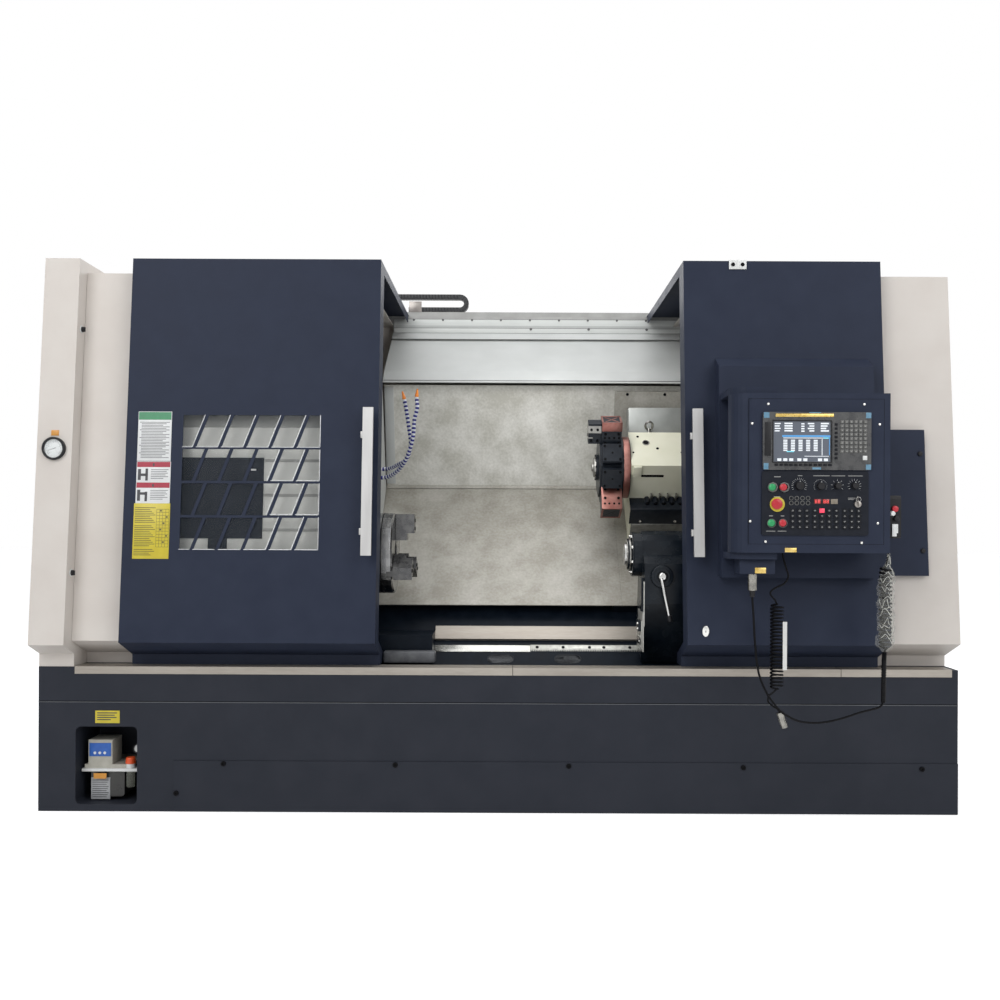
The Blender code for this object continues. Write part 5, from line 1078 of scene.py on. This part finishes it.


# Screws of the raised cover plate behind the turret, and the sheet seam under it.
screws = []
for x in (0.600, 0.778, 0.956):
    screws.append(cap_screw((x, -0.0875, 1.780), (0, -1, -0.3), 0.0075, 0.003))
together("cover_plate_screws", screws, socket_black, "saddle")
seam = [(0.0530, 1.3330), (0.0566, 1.3480), (0.0530, 1.3485), (0.0492, 1.3335)]
sheet_strip("lining_seam", lining_left, lining_right, seam, sheet_steel, "frame")
# A narrow white corner strip closes the linings against the headstock's side panel.
(foot_y, foot_z), (top_y, top_z) = lining(0.02), lining(0.98)
outline = [(foot_y - 0.004, foot_z), (top_y - 0.004, top_z), (top_y - 0.0005, top_z),
           (foot_y - 0.0005, foot_z)]
sheet_strip("corner_strip", -0.5600, -0.5170, outline, panel_paint, "frame", 0.0004)


# Chuck and jaws. A turned and ground steel body with three T-slots, ring grooves at the
# rim, and hard stepped jaws held by pairs of socket screws.
axis_y, axis_z = -0.637, 1.034
chuck_steel = grained("chuck_steel", (0.24, 0.243, 0.247), (0.36, 0.36, 0.355), 0.24, 1.0, scale=16,
                      stretch=(6, 1, 1), bump=0.25)
jaw_steel = grained("jaw_steel", (0.21, 0.205, 0.195), (0.33, 0.325, 0.305), 0.30, 1.0, scale=30,
                    bump=0.2)
repaint("spindle_and_chuck", chuck_steel)
rounded_edges(nodes["spindle_and_chuck"], 0.0015, 2)
hard_steel = grained("hard_steel", (0.085, 0.086, 0.090), (0.16, 0.16, 0.158), 0.28, 0.8, scale=30)
for name in ("jaw_1", "jaw_2", "jaw_3"):
    repaint(name, hard_steel)
    rounded_edges(nodes[name], 0.0015, 2)
grooves = [ring_of((x, axis_y, axis_z), (x + 0.004, axis_y, axis_z), 0.1706, 0.1690, 64)
           for x in (-0.5300, -0.4900)]
together("chuck_grooves", grooves, socket_black, "spindle")
for k in range(3):
    turn = math.tau * k / 3
    spin = Matrix.Translation((0, axis_y, axis_z)) @ Matrix.Rotation(turn, 4, "X")
    screws = [cap_screw((-0.3610, 0, out), (1, 0, 0), 0.0085, 0.0030) for out in (0.105, 0.140)]
    bolts = together("jaw_screws_" + str(k + 1), screws, socket_black, None)
    bolts.data.transform(spin)
    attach(bolts, "jaw_" + str(k + 1))
    teeth = [slab((-0.4400, side - 0.0004, 0.068 + 0.004 * n),
                  (-0.4120, side + 0.0004, 0.0695 + 0.004 * n))
             for side in (-0.0293, 0.0293) for n in range(22)]
    serration = together("jaw_teeth_" + str(k + 1), teeth, hard_steel, None)
    serration.data.transform(spin)
    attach(serration, "jaw_" + str(k + 1))


# Turret. A black octagonal drum on a copper-coloured disc, with tool blocks on its flats,
# two of them with copper guards, on a cream cast body with a valve row under it.
drum_y, drum_z = -0.24809, 1.42291
drum_black = grained("drum_black", (0.007, 0.010, 0.016), (0.017, 0.022, 0.030), 0.34, scale=26,
                     shine=0.25)
copper = grained("copper", (0.25, 0.095, 0.078), (0.40, 0.195, 0.165), 0.36, 0.75, scale=22,
                 spread=0.12)
repaint("turret_drum", drum_black)
rounded_edges(nodes["turret_drum"], 0.0025, 2)
rounded_edges(nodes["turret_body"], 0.0050, 3)
disc = ring_of((0.5542, drum_y, drum_z), (0.5850, drum_y, drum_z), 0.1412, 0.1300, 72)
finished(disc, "turret_disc", copper, "turret", 0.0030, 3)


def turned(pieces, name, finish, turn, edge):
    """Join pieces that were made upright at the origin, finish them and turn them in place."""
    if isinstance(pieces, list):
        pieces = together(name, pieces, None, None)
    made = finished(pieces, name, finish, None, edge)
    made.data.transform(turn)
    return made


def on_drum(pieces, name, finish, k, edge=0.0):
    """Seat pieces, made with Z outwards, on a flat of the drum."""
    turn = Matrix.Rotation(math.radians(45 * k + 22.5), 4, "X")
    made = turned(pieces, name, finish, Matrix.Translation((0, drum_y, drum_z)) @ turn, edge)
    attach(made, "turret")


for k in (1, 2, 4, 5, 6, 7):
    screws = [cap_screw((x, along, 0.1548), (0, 0, 1), 0.0062, 0.0030)
              for x in (0.4680, 0.5360) for along in (-0.033, 0.033)]
    on_drum(screws, "flat_screws_" + str(k), socket_black, k)
    plug = barrel((0.502, 0.0, 0.1548), (0.502, 0.0, 0.1565), 0.0045, 20)
    on_drum(plug, "flat_plug_" + str(k), socket_black, k, 0.0005)
    wedge = [slab((0.4600, side - 0.002, 0.1300), (0.5440, side + 0.002, 0.1500))
             for side in (-0.0455, 0.0455)]
    on_drum(wedge, "flat_wedges_" + str(k), drum_black, k, 0.001)
# The copper guards: a frame with a crossed recess on the upper block, a full cheek below.
for k, face in ((0, -0.052), (3, 0.052)):
    frame_bars = [slab((0.4560, -0.0535, 0.2280), (0.5480, -0.0430, 0.2310)),
                  slab((0.4560, 0.0430, 0.2280), (0.5480, 0.0535, 0.2310)),
                  slab((0.4560, -0.0535, 0.2280), (0.4650, 0.0535, 0.2310)),
                  slab((0.5390, -0.0535, 0.2280), (0.5480, 0.0535, 0.2310))]
    on_drum(frame_bars, "guard_frame_" + str(k), copper, k, 0.0010)
    cross = []
    for side in (1, -1):
        bar = slab((0.4900, -0.0040, 0.2285), (0.5140, 0.0040, 0.2300))
        bar.scale.x *= 3.6
        bar.rotation_euler.z = side * math.radians(48)
        cross.append(bar)
    on_drum(cross, "guard_cross_" + str(k), drum_black if k else copper, k, 0.0006)
    sign = -1 if face < 0 else 1
    near, far = sorted((face, face + sign * 0.0016))
    low, row = (0.1200, 0.205) if k else (0.1900, 0.160)
    cheek = slab((0.4560, near, low), (0.5480, far, 0.2305))
    on_drum(cheek, "guard_cheek_" + str(k), copper, k, 0.0008)
    holes = [peg(x, row, face, face + sign * 0.0032, 0.0050, 16)
             for x in (0.4700, 0.4900, 0.5120, 0.5340)]
    on_drum(holes, "guard_holes_" + str(k), socket_black, k)
    screws = [cap_screw((x, face + sign * 0.001, out), (0, sign, 0), 0.0065, 0.004)
              for x in (0.4720, 0.5320) for out in (0.135, 0.178)]
    on_drum(screws, "block_screws_" + str(k), socket_black, k)
tip = [slab((0.3935, -0.0340, 0.1500), (0.4180, 0.0340, 0.1560)),
       slab((0.3935, -0.0345, 0.1750), (0.4560, -0.0310, 0.2100))]
on_drum(tip, "boring_clamp", jaw_steel, 0, 0.0012)
pins = [cap_screw((x, -0.0335, out), (0, -1, 0), 0.0060, 0.006)
        for x in (0.4100, 0.4380) for out in (0.140, 0.192)]
on_drum(pins, "boring_screws", socket_black, 0)
hub = [barrel((0.4370, drum_y, drum_z), (0.4260, drum_y, drum_z), 0.0480, 40, 0.0440),
       barrel((0.4270, drum_y, drum_z), (0.4180, drum_y, drum_z), 0.0200, 24, 0.0170)]
together("turret_hub", hub, jaw_steel, "turret", 0.0015)
bolts = [cap_screw((0.4362, drum_y + 0.054 * math.cos(t), drum_z + 0.054 * math.sin(t)),
                   (-1, 0, 0), 0.0050, 0.003) for t in [math.tau * n / 8 for n in range(8)]]
together("turret_hub_bolts", bolts, socket_black, "turret")

# The cream body: two leaning faces, tapped holes, a dark slot, valves and a dark apron.
body_y = -0.41073


def on_body(pieces, name, finish, upper, edge=0.0):
    """Seat pieces, made flat with -Y outwards, on the body's upper or lower front face."""
    turn = Matrix.Rotation(math.radians(-45 if upper else 45), 4, "X")
    made = turned(pieces, name, finish, Matrix.Translation((0, body_y, drum_z)) @ turn, edge)
    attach(made, "cross_slide")


holes = [peg(x, up, 0.001, -0.0020, radius, 24)
         for x, up, radius in ((0.6280, 0.199, 0.0060), (0.6625, 0.156, 0.0130),
                               (0.7120, 0.117, 0.0065), (0.6000, 0.089, 0.0045),
                               (0.8200, 0.090, 0.0060), (0.9400, 0.180, 0.0060))]
on_body(holes, "body_holes", socket_black, True, 0.0008)
rim = ring_of((0.6625, 0.0005, 0.156), (0.6625, -0.0028, 0.156), 0.0165, 0.0128, 32)
on_body(rim, "body_hole_rim", jaw_steel, True, 0.0006)
slot = slab((0.6330, -0.0016, -0.0680), (0.7350, 0.0010, -0.0550))
on_body(slot, "body_slot", socket_black, False, 0.0010)
pad = slab((0.5950, -0.0100, -0.0620), (0.6330, 0.0010, -0.0020))
on_body(pad, "body_pad", cream_paint, False, 0.0030)
valve_steel = grained("valve_steel", (0.22, 0.22, 0.21), (0.32, 0.32, 0.30), 0.35, 0.8, scale=50)
valves, saddles, caps = [], [], []
for k in range(8):
    x = 0.6700 + 0.0378 * k
    valves.append(peg(x, -0.196, -0.004, -0.040, 0.0125, 24, 0.0110))
    caps.append(peg(x, -0.196, -0.040, -0.047, 0.0085, 6))
    saddles.append(slab((x + 0.0155, -0.020, -0.222), (x + 0.0215, 0.004, -0.166)))
    saddles.append(slab((x - 0.014, -0.010, -0.224), (x + 0.030, 0.004, -0.214)))
on_body(valves, "valve_stems", drum_black, False, 0.0015)
on_body(caps, "valve_caps", socket_black, False, 0.0008)
on_body(saddles, "valve_saddles", valve_steel, False, 0.001)
top = [slope(0.4340, -0.0828), slope(0.3580, -0.0828), slope(0.3580, -0.1750),
       slope(0.3602, -0.1750), slope(0.3602, -0.0852), slope(0.4340, -0.0852)]
sheet_strip("slide_apron", 0.5900, 1.0410, top, drum_black, "cross_slide", 0.0012)
low = [slope(0.3598, -0.1750), slope(0.3560, -0.1760), slope(0.3560, -0.2700),
       slope(0.3602, -0.2700)]
sheet_strip("slide_wiper", 0.6000, 1.0410, low, valve_steel, "cross_slide", 0.0010)
bolts = []
for x in (0.640, 0.800, 0.960):
    y, z = slope(0.3580, -0.1550)
    bolts.append(cap_screw((x, y, z), (0, -0.7071, -0.7071), 0.0070, 0.004))
together("slide_apron_screws", bolts, bright_steel, "cross_slide")

# The pale sheet housing behind the turret, and the lifting eye in front of it.
housing = [(-0.2050, 1.5300), (-0.1900, 1.7060), (-0.0950, 1.7060), (-0.1050, 1.5000)]
housing_grey = grained("housing_grey", (0.33, 0.345, 0.33), (0.42, 0.435, 0.42), 0.36, 0.4,
                       scale=10)
sheet_strip("drive_housing", 0.5950, 1.0300, housing, housing_grey, "cross_slide", 0.0030)
eye_ring = bmesh.new()
loop = [(0.6850 + 0.017 * math.cos(t), -0.2330 - 0.010 * math.sin(t), 1.6180 + 0.017 * math.sin(t))
        for t in [math.tau * k / 28 for k in range(29)]]
tube_into(eye_ring, loop, 0.0050, 12)
linked("lifting_eye", shape_mesh(eye_ring), "cross_slide", jaw_steel)
shank = [barrel((0.6850, -0.2350, 1.5700), (0.6850, -0.2335, 1.6050), 0.0070, 20),
         barrel((0.6850, -0.2350, 1.5800), (0.6850, -0.2345, 1.5900), 0.0150, 24, 0.0120)]
together("lifting_eye_shank", shank, jaw_steel, "cross_slide", 0.0010)


# Tailstock. A dark enamelled casting with a ground nose, ring of cap screws, clamp lever
# on its front and a stack of wiper plates along its foot.
cast_gloss = grained("cast_gloss", (0.005, 0.008, 0.013), (0.011, 0.016, 0.022), 0.26, scale=16,
                     bump=0.4, shine=0.22)
repaint("tailstock", cast_gloss)
rounded_edges(nodes["tailstock"], 0.0060, 3)
rounded_edges(nodes["quill"], 0.0010, 2)
nose = [ring_of((0.5415, axis_y, axis_z), (0.5385, axis_y, axis_z), 0.0640, 0.0475, 48),
        ring_of((0.5480, axis_y, axis_z), (0.5560, axis_y, axis_z), 0.0680, 0.0600, 48)]
together("nose_rings", nose, jaw_steel, "tailstock", 0.0012)
flange = ring_of((0.5635, axis_y, axis_z), (0.5590, axis_y, axis_z), 0.0930, 0.0690, 64)
finished(flange, "nose_flange", cast_gloss, "tailstock", 0.0015)
bolts = [cap_screw((0.5592, axis_y + 0.080 * math.cos(t), axis_z + 0.080 * math.sin(t)),
                   (-1, 0, 0), 0.0070, 0.006) for t in [math.tau * (n + 0.5) / 8 for n in range(8)]]
together("nose_screws", bolts, bright_steel, "tailstock")

chrome = plain_material("chrome", (0.55, 0.55, 0.54), 0.14, 1.0)
front = -0.7900
lever = barrel((0.6640, -0.8205, 0.9420), (0.6960, -0.8290, 0.7820), 0.0080, 20, 0.0062)
grip_end = barrel((0.6950, -0.8288, 0.7880), (0.7000, -0.8300, 0.7640), 0.0120, 24, 0.0095)
disc = peg(0.6700, 0.9470, front, -0.8080, 0.0480, 48, 0.0450)
dome = peg(0.6700, 0.9470, -0.8070, -0.8260, 0.0220, 40, 0.0150)
hub_ring = ring_of((0.6700, -0.8060, 0.9470), (0.6700, -0.8120, 0.9470), 0.0330, 0.0230, 48)
finished(disc, "lever_hub", cast_gloss, "clamp_lever", 0.0030, 3)
finished(dome, "lever_boss", chrome, "clamp_lever", 0.0040, 3)
finished(hub_ring, "lever_ring", cast_gloss, "clamp_lever", 0.0015)
made = finished(lever, "lever_rod", chrome, "clamp_lever", 0.0010)
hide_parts("clamp_lever")
finished(grip_end, "lever_grip", black_plastic, "clamp_lever", 0.0025, 3)

wiper_grey = grained("wiper_grey", (0.40, 0.40, 0.38), (0.56, 0.56, 0.53), 0.40, 0.5, scale=30)
plates = [(0.5860, 0.5905, 0.648, 0.700, -0.7450, -0.6350),
          (0.5905, 0.5945, 0.640, 0.760, -0.7550, -0.6150),
          (0.5945, 0.5995, 0.632, 0.800, -0.7650, -0.5950)]
stack = [slab((a, y0, z0), (b, y1, z1)) for a, b, z0, z1, y0, y1 in plates]
together("foot_wipers", stack, wiper_grey, "tailstock", 0.0010)
stack = [slab((0.5800, -0.7400, 0.715), (0.5997, -0.6500, 0.760)),
         slab((0.5840, -0.7600, 0.660), (0.5862, -0.6500, 0.690)),
         slab((0.5880, -0.7700, 0.800), (0.5998, -0.7350, 0.940))]
together("foot_blocks", stack, cast_gloss, "tailstock", 0.0030)
screws = [cap_screw((0.5802, -0.7250, 0.726), (-1, 0, 0), 0.0060, 0.006),
          cap_screw((0.5802, -0.7250, 0.748), (-1, 0, 0), 0.0060, 0.006),
          cap_screw((0.5862, -0.7400, 0.675), (-1, 0, 0), 0.0060, 0.005)]
together("foot_screws", screws, bright_steel, "tailstock")
strip = slab((0.5950, -0.7905, 0.7400), (0.5997, -0.7850, 0.9250))
finished(strip, "foot_edge_strip", wiper_grey, "tailstock", 0.0010)
panel = [slab((0.8300, -0.7912, 0.6700), (0.8320, -0.7895, 0.9800))]
together("tailstock_joint", panel, socket_black, "tailstock")

# Bed. A ground way strip, a thin bright guard below it, and the tailstock's drive rack
# with its screws and teeth; dark pockets are cored into the casting under them.
bed_black = grained("bed_black", (0.003, 0.006, 0.011), (0.007, 0.011, 0.018), 0.42, scale=20,
                    bump=0.5, depth=0.001, shine=0.10)
for name in ("bed", "headstock", "saddle"):
    repaint(name, bed_black)
    rounded_edges(nodes[name], 0.0040, 2)
rounded_edges(nodes["tailstock_way"], 0.0012, 2)


def on_bed(name, left, right, low_up, high_up, thick, finish, edge=0.0006):
    """A flat strip that lies on the bed's slanted face, given by how far up the slope it is."""
    base = -0.3334
    outline = [slope(low_up, base), slope(low_up, base + thick), slope(high_up, base + thick),
               slope(high_up, base)]
    return sheet_strip(name, left, right, outline, finish, "frame", edge)


bright_strip = grained("bright_strip", (0.46, 0.46, 0.43), (0.56, 0.56, 0.53), 0.25, 0.9, scale=40)
on_bed("guard_strip", -0.2790, 0.1340, -0.2680, -0.2320, 0.0030, bright_strip)
rack_steel = grained("rack_steel", (0.28, 0.28, 0.26), (0.42, 0.42, 0.39), 0.34, 0.9, scale=60)
on_bed("drive_rack", 0.1345, 1.2300, -0.2560, -0.2290, 0.0032, rack_steel)
teeth = bmesh.new()
pitch = 0.0075
for k in range(145):
    x = 0.1380 + pitch * k
    corners = []
    for dx, up in ((0, -0.2555), (0.0042, -0.2555), (0.0030, -0.2640), (0.0012, -0.2640)):
        corners.append([(x + dx, *slope(up, above)) for above in (-0.3334, -0.3304)])
    back = [teeth.verts.new(pair[0]) for pair in corners]
    near = [teeth.verts.new(pair[1]) for pair in corners]
    teeth.faces.new(back)
    teeth.faces.new(near[::-1])
    for n in range(4):
        m = (n + 1) % 4
        teeth.faces.new((back[n], back[m], near[m], near[n]))
linked("rack_teeth", shape_mesh(teeth, False), "frame", rack_steel)
screws = []
for x in (0.163, 0.275, 0.389, 0.451, 0.563, 0.720, 0.880, 1.040, 1.190):
    y, z = slope(-0.2425, -0.3305)
    screws.append(barrel((x, y, z), (x, y - 0.0010, z + 0.0010), 0.0070, 20))
together("rack_screws", screws, socket_black, "frame")
pocket_grey = grained("pocket_grey", (0.035, 0.040, 0.048), (0.060, 0.066, 0.075), 0.5, scale=30,
                      bump=0.4)
for k, x in enumerate((0.006, 0.293)):
    loop = []
    for n in range(33):
        turn = math.tau * n / 32
        side, up = 0.056 * math.cos(turn), 0.024 * math.sin(turn)
        loop.append((x + math.copysign(abs(side / 0.056) ** 0.5 * 0.056, side),
                     *slope(-0.3050 + up, -0.3330)))
    rim = bmesh.new()
    tube_into(rim, loop, 0.0022, 6)
    linked("core_rim_" + str(k), shape_mesh(rim), "frame", cast_paint)
    fill = bmesh.new()
    near = [fill.verts.new(Vector(p)) for p in loop[:-1]]
    far = [fill.verts.new(Vector(p) + Vector((0, 0.003, -0.003))) for p in loop[:-1]]
    fill.faces.new(near)
    fill.faces.new(far[::-1])
    for n in range(32):
        fill.faces.new((near[n], far[n], far[(n + 1) % 32], near[(n + 1) % 32]))
    linked("core_fill_" + str(k), shape_mesh(fill, False), "frame", pocket_grey)
# The cast toe under the headstock foot, with its raised rim.
toe = slab((-0.4800, -0.7600, 0.5805), (-0.2640, -0.7000, 0.6300))
toe_grey = grained("toe_grey", (0.085, 0.090, 0.100), (0.135, 0.140, 0.150), 0.5, scale=40,
                   bump=0.5)
finished(toe, "headstock_toe", toe_grey, "frame", 0.0080, 3)


# Coolant hoses. Snap-together ball segments, blue and white by turns, ending in a small
# orange nozzle. They hold the curve they are set to.
hose_blue = grained("hose_blue", (0.012, 0.012, 0.16), (0.02, 0.02, 0.24), 0.32, scale=80)
hose_white = grained("hose_white", (0.66, 0.68, 0.72), (0.76, 0.78, 0.82), 0.35, scale=80)
nozzle_orange = grained("nozzle_orange", (0.80, 0.22, 0.02), (0.86, 0.30, 0.04), 0.35, scale=80)
hoses = {
    "coolant_hose_1": [(-0.5608, -0.420, 1.402), (-0.500, -0.425, 1.403), (-0.445, -0.500, 1.420),
                       (-0.405, -0.560, 1.440), (-0.385, -0.590, 1.500), (-0.392, -0.600, 1.570),
                       (-0.402, -0.605, 1.640), (-0.411, -0.607, 1.690),
                       (-0.420, -0.608, 1.726)],
    "coolant_hose_2": [(-0.5609, -0.470, 1.362), (-0.500, -0.475, 1.364), (-0.445, -0.540, 1.390),
                       (-0.402, -0.600, 1.440), (-0.372, -0.640, 1.520), (-0.364, -0.650, 1.600),
                       (-0.352, -0.655, 1.650), (-0.354, -0.656, 1.692),
                       (-0.351, -0.657, 1.731)],
}
for name, points in hoses.items():
    path = smooth_route(points, 24)
    lengths = [0.0]
    for a, b in zip(path, path[1:]):
        lengths.append(lengths[-1] + (b - a).length)
    total = lengths[-1]

    def along(distance):
        for k in range(1, len(path)):
            if lengths[k] >= distance:
                share = (distance - lengths[k - 1]) / (lengths[k] - lengths[k - 1])
                return path[k - 1].lerp(path[k], share)
        return path[-1]

    segment = 0.0086
    count = int((total - 0.030) / segment)
    shapes = [bmesh.new(), bmesh.new()]
    for k in range(count):
        start = k * segment
        stations = [along(start + segment * share) for share in (0.0, 0.12, 0.5, 0.88, 1.0)]
        tube_into(shapes[k % 2], stations, [0.0060, 0.0082, 0.0090, 0.0080, 0.0064], 14)
    for shape, finish, tone in zip(shapes, (hose_blue, hose_white), ("blue", "white")):
        made = linked(name + "_" + tone, shape_mesh(shape), "frame", finish)
        if tone == "blue":
            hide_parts(name)
    tip = bmesh.new()
    start = count * segment
    reach = total - start
    stations = [along(start + reach * share) for share in (0.0, 0.15, 0.30, 0.90, 1.0)]
    tube_into(tip, stations, [0.0070, 0.0085, 0.0075, 0.0036, 0.0030], 16)
    linked(name + "_nozzle", shape_mesh(tip), "frame", nozzle_orange)


# Energy chain on the top rail: side links and crossbars clipped round a moulded loop,
# with the folded bracket that holds its lower end.
chain_low, chain_bend, chain_turn = 2.2583, 0.0460, -0.2220
links = []
run = 0.016
for level in (chain_low, chain_low + 2 * chain_bend - 0.025):
    count = int((chain_turn + (0.485 if level == chain_low else 0.995)) / run)
    for k in range(count):
        x = chain_turn - run * k - 0.0125
        links.append(slab((x, 0.3708, level - 0.0004), (x + 0.0125, 0.4092, level + 0.0248)))
for k in range(9):
    turn = -math.pi / 2 + math.pi * (k + 0.5) / 9
    link = slab((-0.0058, 0.3708, -0.0126), (0.0058, 0.4092, 0.0124))
    link.location = (chain_turn + 0.0330 * math.cos(turn), 0.3900,
                     chain_low + chain_bend + 0.0330 * math.sin(turn))
    link.rotation_euler.y = -turn + math.pi / 2
    links.append(link)
chain_grey = grained("chain_grey", (0.008, 0.009, 0.011), (0.016, 0.018, 0.020), 0.45, scale=60)
together("chain_links", links, chain_grey, "frame", 0.0012)
hold = [slab((-0.4850, 0.3640, 2.2580), (-0.4200, 0.3680, 2.3120)),
        slab((-0.4850, 0.3640, 2.2572), (-0.4200, 0.3715, 2.2600))]
together("chain_bracket", hold, tool_steel, "frame", 0.0010)


# Back of the machine: the electrical cabinet's door with louvres and two locks, the joints
# and screws of the rear wall's sheets, and the cabinet's cable glands.
rounded_edges(nodes["rear_wall"], 0.0010, 1)
door_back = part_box("cabinet_door")[1][1]
louvres = []
for row in range(9):
    z = 0.760 + 0.026 * row
    for left in (-0.700, 0.180):
        fin = slab((left, door_back - 0.002, z), (left + 0.520, door_back + 0.0090, z + 0.0120))
        fin.rotation_euler.x = math.radians(-18)
        louvres.append(fin)
together("cabinet_louvres", louvres, light_paint, "cabinet_door", 0.0020)
for k, z in enumerate((0.850, 1.780)):
    boss = peg(0.820, z, door_back - 0.001, door_back + 0.010, 0.018, 32, 0.0165)
    key = slab((0.8165, door_back + 0.009, z - 0.010), (0.8235, door_back + 0.0120, z + 0.010))
    together("cabinet_lock_" + str(k), [boss, key], bright_steel, "cabinet_door", 0.0015)
screws = [peg(x, z, 0.4055, 0.4095, 0.0070, 20, 0.0050)
          for x in (-1.62, -1.30, -1.00, 1.00, 1.30, 1.62, 1.80) for z in (0.640, 1.400, 2.130)]
together("rear_wall_screws", screws, bright_steel, "frame", 0.0008)
joint = [slab((x - 0.0012, 0.4045, 0.600), (x + 0.0012, 0.4070, 2.160)) for x in (-0.960, 0.960)]
together("rear_wall_joints", joint, socket_black, "frame")
gland = [barrel((x, 0.590, 2.0000), (x, 0.590, 2.0300), 0.022, 24, 0.018)
         for x in (-0.620, -0.540, -0.460)]
together("cabinet_glands", gland, black_plastic, "frame", 0.0020)

# Side panels: cover joint screws on the right end, and the hatch's two quarter-turn locks.
screws = []
for z in (0.720, 1.200, 1.680, 2.150):
    for y in (-0.780, -0.300, 0.300):
        if y > door_y(z) + 0.10:
            screws.append(barrel((1.8440, y, z), (1.8449, y, z), 0.0080, 20, 0.0070))
together("end_cover_screws", screws, bright_steel, "frame")
for k, z in enumerate((1.060, 1.450)):
    y = door_y(z) + 0.063 - 0.030
    boss = peg(1.6950, z, y + 0.001, y - 0.0080, 0.0100, 24, 0.0090)
    finished(boss, "hatch_lock_" + str(k), black_plastic, "frame", 0.0015)
